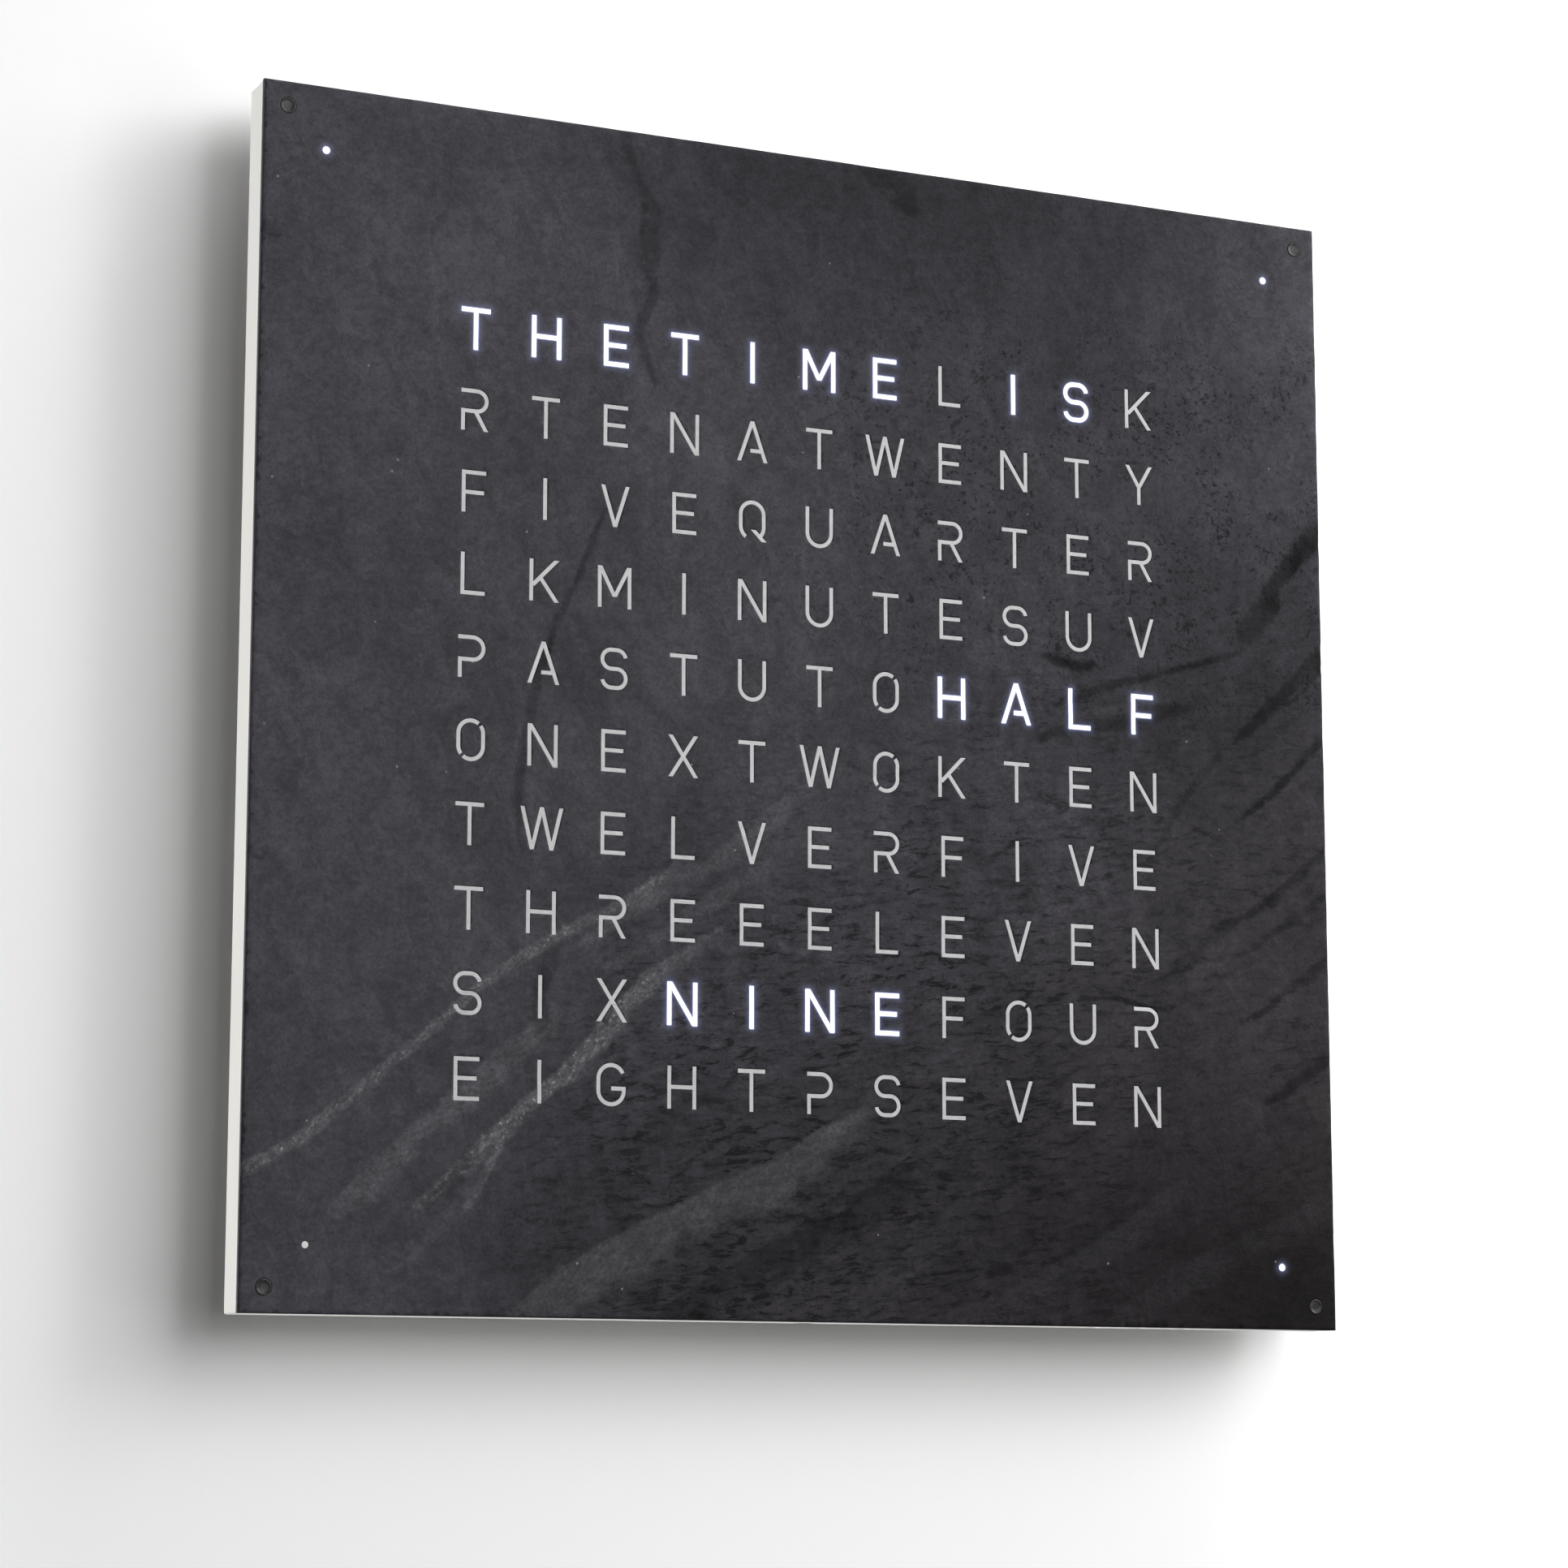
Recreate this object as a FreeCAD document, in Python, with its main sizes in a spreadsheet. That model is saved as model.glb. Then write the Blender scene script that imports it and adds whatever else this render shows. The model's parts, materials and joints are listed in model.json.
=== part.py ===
import FreeCAD, Part
import math
import os
import re
import Sketcher

from FreeCAD import Placement, Rotation, Vector

# Word clock, in millimetres.  X runs right along the face, +Y runs into the wall and Z is up.
# The origin is the centre of the wall plane, so every piece lies at negative Y.
# A stone cover with a matrix of stencilled letters is held by magnets on a lacquered case.
# Behind each letter a cell of a light baffle holds one LED.

# One row of the face per string.  Words that tell the time, with plain fill letters between.
LETTER_ROWS = (
    "THETIMELISK",
    "RTENATWENTY",
    "FIVEQUARTER",
    "LKMINUTESUV",
    "PASTUTOHALF",
    "ONEXTWOKTEN",
    "TWELVERFIVE",
    "THREEELEVEN",
    "SIXNINEFOUR",
    "EIGHTPSEVEN",
)
# The words that are lit, as row and first and last column, counted from 0.
LIT_RUNS = ((0, 0, 6), (0, 8, 9), (4, 7, 10), (8, 3, 6))
COLUMN_COUNT = len(LETTER_ROWS[0])
ROW_COUNT = len(LETTER_ROWS)
# The corner dots count single minutes.  The last one, at the lower left, is unlit.
LIT_DOT_CORNERS = ((-1, 1), (1, 1), (1, -1))
UNLIT_DOT_CORNERS = ((-1, -1),)
CORNERS = ((-1, 1), (1, 1), (1, -1), (-1, -1))
BUTTONS = (("hours", -1), ("minutes", 0), ("brightness", 1))
# Panel screws along one side, as shares of the way from its middle to its end screw.
SCREW_SHARES = (-1, -1 / 3, 1 / 3, 1)

# Driving sizes: alias, value, what it is.
SIZES = (
    # cover
    ("face_side", 450.0, "side of the square face"),
    ("matrix_margin", 69.7, "plain border between the face's edge and the letter cells"),
    ("letter_height", 15.9, "cap height"),
    ("stroke_width", 1.5, "stroke of a letter"),
    ("bridge_gap", 1.2, "stone left where a closed letter is bridged"),
    ("slate_thickness", 1.5, "stone veneer"),
    ("fill_recess", 0.2, "resin of a letter below the stone's face"),
    ("carrier_thickness", 1.0, "steel sheet behind the stone"),
    ("window_web", 4.0, "steel left between two letter windows"),
    ("dot_diameter", 2.5, "minute dot"),
    ("dot_inset", 24.25, "minute dot from each edge of the face"),
    ("stud_diameter", 6.0, "locating stud"),
    ("stud_offset", 3.3, "locating stud beyond the corner of the diffuser's rebate, each way"),
    ("stud_reach", 5.0, "stud behind the steel sheet"),
    ("stud_recess", 0.1, "stud below the stone's face"),
    # case
    ("wall_gap", 2.0, "case to wall, the height of a bumper"),
    ("light_depth", 8.0, "LED boards to diffuser"),
    ("rail_width", 16.0, "rail of the case frame"),
    ("edge_round", 0.8, "rounding of the frame's outer edges"),
    ("panel_thickness", 2.5, "rear panel"),
    ("panel_lap", 6.0, "rebate for the rear panel"),
    ("panel_clearance", 0.3, "gap round the rear panel"),
    ("diffuser_thickness", 2.0, "opal sheet"),
    ("front_land", 12.5, "front of the frame outside the opal sheet's rebate"),
    ("diffuser_clearance", 0.4, "gap round and in front of the opal sheet"),
    ("baffle_web", 1.5, "wall between two light cells"),
    ("magnet_diameter", 8.0, "cover magnet"),
    ("magnet_thickness", 2.5, "cover magnet"),
    ("magnet_recess", 0.1, "magnet below the frame's front"),
    ("magnet_offset", 120.0, "magnet from the middle of its rail"),
    ("stud_clearance", 0.3, "gap round a locating stud in its bush"),
    ("bush_wall", 1.0, "wall of a stud bush"),
    ("bush_depth", 6.0, "stud bush"),
    # panel screws
    ("screw_shank", 2.9, "diameter of a panel screw"),
    ("screw_clearance", 0.15, "gap round a panel screw in the panel"),
    ("screw_head_cone", 1.35, "height of the countersunk head, and its width beyond the shank"),
    ("screw_length", 10.0, "panel screw, head included"),
    ("screw_end_inset", 64.7, "end screw of a side from the panel's corner"),
    ("screw_inset", 3.1, "screw from the panel's edge"),
    ("screw_slot_width", 0.9, "cross recess"),
    ("screw_slot_length", 3.2, "cross recess"),
    ("screw_slot_depth", 0.8, "cross recess"),
    # light
    ("board_thickness", 1.6, "every circuit board"),
    ("board_gap", 0.5, "between two boards, or a board and a housing"),
    ("strip_width", 12.0, "LED strip board"),
    ("strip_tail", 6.0, "LED strip beyond the baffle"),
    ("led_side", 5.0, "LED package"),
    ("led_height", 1.6, "LED package"),
    ("bus_width", 14.0, "board that joins the strips"),
    ("connector_length", 8.0, "strip connector"),
    ("connector_width", 6.0, "strip connector"),
    ("connector_height", 3.0, "strip connector"),
    ("tube_bore", 7.0, "light tube behind a minute dot"),
    ("tube_wall", 1.4, "light tube"),
    ("dot_board_side", 10.0, "board behind a minute dot"),
    ("flex_width", 4.0, "flat cable"),
    ("flex_thickness", 0.4, "flat cable"),
    # hanging
    ("keyhole_spacing", 300.0, "between the two hanger plates"),
    ("keyhole_drop", 48.0, "entry hole below the frame's top"),
    ("keyhole_entry", 9.0, "diameter of the entry hole"),
    ("keyhole_slot", 4.6, "width of the hanging slot"),
    ("keyhole_rise", 10.0, "slot end above the entry hole"),
    ("plate_width", 22.0, "hanger plate"),
    ("plate_thickness", 1.2, "hanger plate"),
    ("plate_border", 5.0, "plate round the window behind it"),
    ("window_room", 2.2, "room round the keyhole in the panel"),
    ("rivet_diameter", 2.4, "rivet of a hanger plate"),
    ("rivet_head", 4.0, "diameter of a rivet's head"),
    ("rivet_room", 0.2, "rivet's head to the wall"),
    ("bumper_diameter", 12.0, "wall bumper"),
    ("bumper_inset", 30.0, "corner bumper from each edge"),
    # power inlet
    ("inlet_width", 30.0, "plug recess, inside"),
    ("inlet_wall", 1.0, "wall of the recess cup"),
    ("inlet_clearance", 0.3, "gap round the recess cup"),
    ("notch_width", 8.0, "cable notch through the lower rail"),
    ("notch_depth", 6.0, "cable notch from the back of the frame"),
    ("jack_width", 9.0, "power jack"),
    ("jack_depth", 8.0, "power jack"),
    ("jack_height", 13.0, "power jack"),
    ("jack_room", 5.65, "power jack to the light baffle"),
    ("jack_bore", 5.6, "power jack"),
    ("jack_bore_depth", 10.5, "power jack"),
    ("jack_pin", 2.0, "centre pin of the jack"),
    ("jack_pin_recess", 1.0, "centre pin inside the jack's mouth"),
    ("tab_length", 3.5, "solder tab of the jack"),
    ("tab_width", 4.0, "solder tab of the jack"),
    ("tab_thickness", 0.5, "solder tab of the jack"),
    # control board
    ("control_top", 1.7, "control board beyond the jack"),
    ("control_left", 8.0, "control board beyond the recess cup, to the left"),
    ("control_right", 24.0, "control board from the right rail"),
    ("cell_diameter", 20.0, "coin cell"),
    ("cell_thickness", 3.2, "coin cell"),
    ("holder_wall", 1.6, "coin cell holder"),
    ("holder_floor", 1.0, "coin cell holder"),
    ("holder_place", 40.0, "coin cell from the middle"),
    ("chip_side", 10.0, "controller"),
    ("chip_height", 1.4, "controller"),
    ("chip_place", 68.0, "controller from the middle"),
    ("driver_side", 6.0, "LED driver"),
    ("driver_height", 1.0, "LED driver"),
    ("driver_place", 84.0, "first LED driver from the middle"),
    ("driver_pitch", 9.0, "between LED drivers"),
    # buttons
    ("button_diameter", 6.0, "push button"),
    ("button_clearance", 0.3, "gap round a push button"),
    ("button_recess", 0.3, "push button below the rail's underside"),
    ("button_travel", 0.8, "push button"),
    ("button_spacing", 20.0, "between push buttons"),
    ("button_inset", 69.0, "middle button from the right rail"),
    ("sleeve_wall", 0.8, "button sleeve"),
    ("collar_width", 0.8, "retaining collar beyond the button's bore"),
    ("collar_thickness", 1.0, "retaining collar"),
    ("collar_gap", 0.1, "retaining collar above its sleeve"),
    ("button_tip", 1.4, "button beyond its collar"),
    ("switch_side", 6.0, "switch body"),
    ("switch_bore_depth", 4.0, "switch body"),
    ("nib_diameter", 3.0, "switch plunger"),
    ("nib_length", 3.5, "switch plunger"),
    ("nib_clearance", 0.3, "gap round the switch plunger"),
    ("nib_show", 1.1, "switch plunger outside the switch body"),
    # radio clock receiver
    ("rod_diameter", 6.0, "ferrite rod"),
    ("rod_length", 60.0, "ferrite rod"),
    ("coil_wall", 1.0, "winding on the rod"),
    ("coil_length", 28.0, "winding on the rod"),
    ("clip_width", 10.0, "rod clip"),
    ("clip_thickness", 4.0, "rod clip"),
    ("clip_inset", 5.0, "rod clip from the rod's end"),
    ("radio_inset", 26.5, "rod from the right rail"),
    ("radio_width", 24.0, "radio board"),
    ("radio_height", 36.0, "radio board"),
    ("radio_drop", 60.0, "radio board's top below the middle"),
    ("radio_chip_side", 6.0, "receiver chip"),
    ("radio_chip_height", 1.0, "receiver chip"),
)

# Places worked out from the driving sizes.  Depths are Y values, so the face is the lowest.
PLACES = (
    ("face_half", "face_side / 2"),
    ("inner_half", "face_half - rail_width"),
    ("matrix_half", "face_half - matrix_margin"),
    ("column_pitch", f"2 * matrix_half / {COLUMN_COUNT}"),
    ("row_pitch", f"2 * matrix_half / {ROW_COUNT}"),
    ("frame_back", "-wall_gap"),
    ("panel_front", "frame_back - panel_thickness"),
    ("board_front", "panel_front - board_thickness"),
    ("diffuser_back", "board_front - light_depth"),
    ("diffuser_front", "diffuser_back - diffuser_thickness"),
    ("frame_front", "diffuser_front - diffuser_clearance"),
    ("carrier_front", "frame_front - carrier_thickness"),
    ("face_front", "carrier_front - slate_thickness"),
    ("frame_depth", "frame_back - frame_front"),
    ("panel_half", "inner_half + panel_lap - panel_clearance"),
    ("diffuser_seat", "face_half - front_land"),
    ("diffuser_half", "diffuser_seat - diffuser_clearance"),
    ("baffle_half", "matrix_half + baffle_web / 2"),
    ("dot_place", "face_half - dot_inset"),
    ("stud_place", "diffuser_seat + stud_offset"),
    ("bush_radius", "stud_diameter / 2 + stud_clearance + bush_wall"),
    ("land_middle", "face_half - front_land / 2"),
    ("screw_place", "panel_half - screw_inset"),
    ("screw_end", "panel_half - screw_end_inset"),
    ("screw_hole_radius", "screw_shank / 2 + screw_clearance"),
    ("screw_grip", "screw_length - panel_thickness"),
    ("tube_radius", "tube_bore / 2 + tube_wall"),
    ("strip_left", "baffle_half + strip_tail"),
    ("bus_right", "strip_left + board_gap"),
    ("bus_left", "bus_right + bus_width"),
    ("flex_front", "panel_front - flex_thickness"),
    ("bumper_place", "face_half - bumper_inset"),
    ("keyhole_height", "face_half - keyhole_drop"),
    ("plate_back", "frame_back + plate_thickness"),
    ("rivet_back", "-rivet_room"),
    ("window_half", "keyhole_entry / 2 + window_room"),
    ("window_low", "keyhole_height - window_half"),
    ("window_high", "keyhole_height + keyhole_rise + keyhole_slot / 2 + window_room"),
    ("plate_low", "window_low - plate_border"),
    ("plate_high", "window_high + plate_border"),
    ("rivet_low", "window_low - plate_border / 2"),
    ("rivet_high", "window_high + plate_border / 2"),
    ("cup_low", "-inner_half + inlet_clearance"),
    ("inlet_low", "cup_low + inlet_wall"),
    ("jack_high", "-baffle_half - jack_room"),
    ("cup_high", "jack_high - jack_height"),
    ("inlet_high", "cup_high - inlet_wall"),
    ("cup_half", "inlet_width / 2 + inlet_wall"),
    ("cup_front", "diffuser_back + inlet_clearance / 3"),
    ("jack_axis", "panel_front - jack_depth / 2"),
    ("control_high", "jack_high + control_top"),
    ("button_low", "-face_half + button_recess"),
    ("button_axis", "board_front - switch_side / 2"),
    ("sleeve_radius", "button_diameter / 2 + button_clearance + sleeve_wall"),
    ("collar_low", "-inner_half + collar_gap"),
    ("collar_high", "collar_low + collar_thickness"),
    ("tip_high", "collar_high + button_tip"),
    ("switch_low", "tip_high + nib_show"),
    ("control_low", "collar_high + button_travel + board_gap"),
    ("control_end", "inner_half - control_right"),
    ("control_start", "-cup_half - control_left"),
    ("control_middle", "(control_low + control_high) / 2"),
    ("button_middle", "inner_half - button_inset"),
    ("rod_place", "inner_half - radio_inset"),
    ("rod_axis", "(panel_front + diffuser_back) / 2"),
    ("radio_low", "-radio_drop - radio_height"),
)

doc = FreeCAD.newDocument("WordClock")
sizes = doc.addObject("Spreadsheet::Sheet", "Sizes")
places = doc.addObject("Spreadsheet::Sheet", "Places")
SIZE_NAMES = {alias for alias, value, note in SIZES}
PLACE_NAMES = {alias for alias, formula in PLACES}


def expand(formula):
    """Give each alias in a formula the name of its sheet."""
    def with_sheet(match):
        word = match.group(0)
        if word in SIZE_NAMES:
            return "Sizes." + word
        if word in PLACE_NAMES:
            return "Places." + word
        return word
    return re.sub(r"[A-Za-z_]\w*", with_sheet, str(formula))


def bind(thing, prop, formula):
    thing.setExpression(prop, expand(formula))


def value(alias):
    """A size or a place, read back from its sheet."""
    return float((sizes if alias in SIZE_NAMES else places).get(alias))


def fill_sheets():
    for row, (alias, number, note) in enumerate(SIZES, 1):
        sizes.set(f"A{row}", note)
        sizes.set(f"B{row}", str(number))
        sizes.setAlias(f"B{row}", alias)
    for row, (alias, formula) in enumerate(PLACES, 1):
        places.set(f"B{row}", "=" + expand(formula).replace("Places.", ""))
        places.setAlias(f"B{row}", alias)
        doc.recompute()


fill_sheets()

nodes = []


def node(thing, label):
    """Make an object one of the clock's sub-parts."""
    thing.Label = label
    nodes.append(thing)
    return thing


# The depths of the circuit boards and of the flat cables, which lie on the rear panel.
BOARD_DEPTH = ("board_front", "panel_front")
FLEX_DEPTH = ("flex_front", "panel_front")


# ---- Part primitives bound to the sheets ----

def box(name, x_span, y_span, z_span):
    """A box between two formulas on each axis."""
    thing = doc.addObject("Part::Box", name)
    for axis, side, (low, high) in zip("xyz", ("Length", "Width", "Height"), (x_span, y_span, z_span)):
        bind(thing, f"Placement.Base.{axis}", low)
        bind(thing, side, f"({high}) - ({low})")
    return thing


def centred(middle, size):
    """The two ends of a span round a middle."""
    return (f"({middle}) - ({size}) / 2", f"({middle}) + ({size}) / 2")


def on_board(height):
    """The depth of a part that stands on the circuit boards."""
    return (f"board_front - ({height})", "board_front")


def cylinder(name, radius, x, z, y_span):
    """A cylinder along Y, between two depths."""
    thing = doc.addObject("Part::Cylinder", name)
    bind(thing, "Radius", radius)
    bind(thing, "Height", f"({y_span[1]}) - ({y_span[0]})")
    thing.Placement = Placement(Vector(), Rotation(Vector(1, 0, 0), -90))
    bind(thing, "Placement.Base.x", x)
    bind(thing, "Placement.Base.y", y_span[0])
    bind(thing, "Placement.Base.z", z)
    return thing


def post(name, radius, x, y, z_span):
    """A cylinder along Z, between two heights."""
    thing = doc.addObject("Part::Cylinder", name)
    bind(thing, "Radius", radius)
    bind(thing, "Height", f"({z_span[1]}) - ({z_span[0]})")
    bind(thing, "Placement.Base.x", x)
    bind(thing, "Placement.Base.y", y)
    bind(thing, "Placement.Base.z", z_span[0])
    return thing


def fuse(name, pieces):
    thing = doc.addObject("Part::MultiFuse", name)
    thing.Shapes = pieces
    thing.Refine = True
    return thing


def cut(name, base, tool):
    thing = doc.addObject("Part::Cut", name)
    thing.Base = base
    thing.Tool = tool
    return thing


def group(name, pieces):
    thing = doc.addObject("Part::Compound", name)
    thing.Links = pieces
    return thing


def copies(label, pattern, spots):
    """One solid of the pattern at each spot, all in one sub-part."""
    doc.recompute()
    solids = []
    for spot in spots:
        solid = pattern.Shape.copy()
        solid.translate(spot)
        solids.append(solid)
    thing = doc.addObject("Part::Feature", label)
    thing.Shape = Part.makeCompound(solids)
    return node(thing, label)


# ---- PartDesign bodies ----

def origin_plane(body, role):
    return next(plane for plane in body.Origin.OriginFeatures if plane.Role == role)


def sketch(body, name, offset, role="XZ_Plane"):
    """A sketch across Y at a depth, or across Z at a height."""
    thing = body.newObject("Sketcher::SketchObject", name)
    thing.AttachmentSupport = (origin_plane(body, role), [""])
    thing.MapMode = "FlatFace"
    bind(thing, "AttachmentOffset.Base.z", f"-({offset})" if role == "XZ_Plane" else offset)
    return thing


def draw_rectangle(drawing, low_x, high_x, low_z, high_z):
    corners = (Vector(-1, -1, 0), Vector(1, -1, 0), Vector(1, 1, 0), Vector(-1, 1, 0))
    lines = [drawing.addGeometry(Part.LineSegment(corners[i], corners[(i + 1) % 4])) for i in range(4)]
    for i in range(4):
        drawing.addConstraint(Sketcher.Constraint("Coincident", lines[i], 2, lines[(i + 1) % 4], 1))
    for i in (0, 2):
        drawing.addConstraint(Sketcher.Constraint("Horizontal", lines[i]))
        drawing.addConstraint(Sketcher.Constraint("Vertical", lines[i + 1]))
    for kind, line, formula in (("DistanceX", 0, low_x), ("DistanceY", 0, low_z),
                                ("DistanceX", 2, high_x), ("DistanceY", 2, high_z)):
        start = -1.0 if line == 0 else 1.0
        number = drawing.addConstraint(Sketcher.Constraint(kind, -1, 1, lines[line], 1, start))
        bind(drawing, f"Constraints[{number}]", formula)


def draw_square(drawing, half):
    draw_rectangle(drawing, f"-({half})", half, f"-({half})", half)


def draw_circle(drawing, x, z, radius):
    ring = drawing.addGeometry(Part.Circle(Vector(1, 1, 0), Vector(0, 0, 1), 1.0))
    for kind, target, formula in (("Radius", None, radius), ("DistanceX", 3, x), ("DistanceY", 3, z)):
        if target is None:
            number = drawing.addConstraint(Sketcher.Constraint(kind, ring, 1.0))
        else:
            number = drawing.addConstraint(Sketcher.Constraint(kind, -1, 1, ring, target, 1.0))
        bind(drawing, f"Constraints[{number}]", formula)


def pad(body, name, drawing, length):
    thing = body.newObject("PartDesign::Pad", name)
    thing.Profile = drawing
    bind(thing, "Length", length)
    return thing


def pocket(body, name, drawing, length):
    """Cut from the sketch towards +Y, or downwards from a sketch across Z."""
    doc.recompute()
    before = body.Shape.Volume
    thing = body.newObject("PartDesign::Pocket", name)
    thing.Profile = drawing
    bind(thing, "Length", length)
    doc.recompute()
    if thing.Shape.Volume >= before:
        raise RuntimeError(f"{name} cuts nothing")
    return thing


def quarter_turns(body, name, feature):
    """Repeat a feature on the other three sides of the square."""
    thing = body.newObject("PartDesign::PolarPattern", name)
    thing.Originals = [feature]
    axis = next(line for line in body.Origin.OriginFeatures if line.Role == "Y_Axis")
    thing.Axis = (axis, [""])
    thing.Angle = 360
    thing.Occurrences = len(CORNERS)
    body.Tip = thing
    doc.recompute()
    return thing


def matrix_pattern(body, name, feature):
    """Repeat a feature of the first cell over all columns and rows."""
    columns = body.newObject("PartDesign::LinearPattern", name)
    columns.Originals = [feature]
    x_axis = next(line for line in body.Origin.OriginFeatures if line.Role == "X_Axis")
    z_axis = next(line for line in body.Origin.OriginFeatures if line.Role == "Z_Axis")
    columns.Direction = (x_axis, [""])
    bind(columns, "Length", f"column_pitch * {COLUMN_COUNT - 1}")
    columns.Occurrences = COLUMN_COUNT
    columns.Direction2 = (z_axis, [""])
    columns.Reversed2 = True
    bind(columns, "Length2", f"row_pitch * {ROW_COUNT - 1}")
    columns.Occurrences2 = ROW_COUNT
    body.Tip = columns
    doc.recompute()
    return columns


def edge_names(shape, wanted):
    return [f"Edge{i}" for i, edge in enumerate(shape.Edges, 1) if wanted(edge)]


def cell_x(column):
    return f"column_pitch * {column - (COLUMN_COUNT - 1) / 2}"


def cell_z(row):
    return f"row_pitch * {(ROW_COUNT - 1) / 2 - row}"


def letter_cells():
    return [(row, column) for row in range(ROW_COUNT) for column in range(COLUMN_COUNT)]


# ---- letters ----

class Pen:
    """Strokes of one letter, drawn in the XZ plane from its lower left corner."""

    def __init__(self, width):
        self.high = value("letter_height")
        self.stroke = value("stroke_width")
        self.gap = value("bridge_gap")
        self.half = self.stroke / 2
        self.wide = width * self.high
        self.faces = []

    def polygon(self, corners):
        points = [Vector(x, 0, z) for x, z in corners]
        self.faces.append(Part.Face(Part.makePolygon(points + points[:1])))

    def bar(self, low_x, high_x, middle):
        """A level stroke."""
        low, high = middle - self.half, middle + self.half
        self.polygon(((low_x, low), (high_x, low), (high_x, high), (low_x, high)))

    def stem(self, middle, low=0.0, high=None):
        """An upright stroke."""
        high = self.high if high is None else high
        left, right = middle - self.half, middle + self.half
        self.polygon(((left, low), (right, low), (right, high), (left, high)))

    def slant(self, start, end):
        """A sloping stroke with level ends."""
        (x0, z0), (x1, z1) = start, end
        reach = self.slant_half(start, end)
        self.polygon(((x0 - reach, z0), (x0 + reach, z0), (x1 + reach, z1), (x1 - reach, z1)))

    def slant_half(self, start, end):
        rise = abs(end[1] - start[1])
        return self.half * math.hypot(end[0] - start[0], rise) / rise

    def bend(self, x, z, radius, start, end):
        """A round stroke about (x, z), from one angle to another in degrees."""
        def at(distance, angle):
            turn = math.radians(angle)
            return Vector(x + distance * math.cos(turn), 0, z + distance * math.sin(turn))
        outer, inner, middle = radius + self.half, radius - self.half, (start + end) / 2
        edges = [
            Part.Arc(at(outer, start), at(outer, middle), at(outer, end)).toShape(),
            Part.LineSegment(at(outer, end), at(inner, end)).toShape(),
            Part.Arc(at(inner, end), at(inner, middle), at(inner, start)).toShape(),
            Part.LineSegment(at(inner, start), at(outer, start)).toShape(),
        ]
        self.faces.append(Part.Face(Part.Wire(edges)))

    def shape(self):
        """The strokes joined, centred on the letter's middle."""
        joined = self.faces[0].fuse(self.faces[1:]) if len(self.faces) > 1 else self.faces[0]
        faces = joined.removeSplitter().Faces
        for face in faces:
            if len(face.Wires) != 1:
                raise RuntimeError("a letter needs another bridge")
            face.translate(Vector(-self.wide / 2, 0, -self.high / 2))
        return faces


# Levels below are shares of the cap height, and places along a letter are shares of its width.
# An inset moves the end of a sloping stroke in from the letter's edge, in strokes.
# The room beside the bar of an A is in bridge gaps.

def draw_a(pen, bar_level=0.27, bar_room=2.0, inset=0.55):
    foot, top = (pen.stroke * inset, 0.0), (pen.wide / 2, pen.high)
    bar_height = pen.high * bar_level
    lean = (top[0] - foot[0]) * bar_level
    pen.slant(foot, top)
    pen.slant((pen.wide - foot[0], 0.0), top)
    bar_start = foot[0] + lean + pen.slant_half(foot, top) + pen.gap * bar_room
    pen.bar(bar_start, pen.wide - foot[0] - lean, bar_height)


def draw_e(pen, bar_level=0.51, bar_end=0.9):
    pen.stem(pen.half)
    pen.bar(pen.half, pen.wide, pen.half)
    pen.bar(pen.half, pen.wide * bar_end, pen.high * bar_level)
    pen.bar(pen.half, pen.wide, pen.high - pen.half)


def draw_f(pen, bar_level=0.48, bar_end=0.92):
    pen.stem(pen.half)
    pen.bar(pen.half, pen.wide * bar_end, pen.high * bar_level)
    pen.bar(pen.half, pen.wide, pen.high - pen.half)


def draw_g(pen, opening=25, shelf_level=0.46):
    turn = pen.wide / 2
    radius = turn - pen.half
    shelf = pen.high * shelf_level
    pen.bend(turn, pen.high - turn, radius, opening, 180)
    pen.stem(pen.half, turn, pen.high - turn)
    pen.bend(turn, turn, radius, 180, 360)
    pen.stem(pen.wide - pen.half, turn, shelf)
    pen.bar(turn, pen.wide, shelf - pen.half)


def draw_h(pen, bar_level=0.51):
    pen.stem(pen.half)
    pen.stem(pen.wide - pen.half)
    pen.bar(pen.half, pen.wide - pen.half, pen.high * bar_level)


def draw_i(pen):
    pen.stem(pen.wide / 2)


def draw_k(pen, arm_level=0.36, leg_place=0.36, leg_level=0.58, inset=0.6):
    pen.stem(pen.half)
    pen.slant((pen.stroke * (1 - inset / 2), pen.high * arm_level), (pen.wide - pen.stroke * inset, pen.high))
    pen.slant((pen.wide * leg_place, pen.high * leg_level), (pen.wide - pen.stroke * inset, 0.0))


def draw_l(pen):
    pen.stem(pen.half)
    pen.bar(pen.half, pen.wide, pen.half)


def draw_m(pen, dip_level=0.27, inset=0.6):
    dip = (pen.wide / 2, pen.high * dip_level)
    pen.stem(pen.half)
    pen.stem(pen.wide - pen.half)
    pen.slant((pen.stroke * inset, pen.high), dip)
    pen.slant((pen.wide - pen.stroke * inset, pen.high), dip)


def draw_n(pen, inset=0.6):
    pen.stem(pen.half)
    pen.stem(pen.wide - pen.half)
    pen.slant((pen.stroke * inset, pen.high), (pen.wide - pen.stroke * inset, 0.0))


def draw_o(pen, bridge_angle=45):
    """A ring bridged at its upper right and lower left."""
    turn = pen.wide / 2
    radius = turn - pen.half
    bridge = math.degrees(pen.gap / 2 / radius)
    near, far = bridge_angle - bridge, bridge_angle + bridge
    pen.bend(turn, pen.high - turn, radius, far, 180)
    pen.stem(pen.half, turn, pen.high - turn)
    pen.bend(turn, turn, radius, 180, 180 + near)
    pen.bend(turn, turn, radius, 180 + far, 360)
    pen.stem(pen.wide - pen.half, turn, pen.high - turn)
    pen.bend(turn, pen.high - turn, radius, 0, near)


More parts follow.
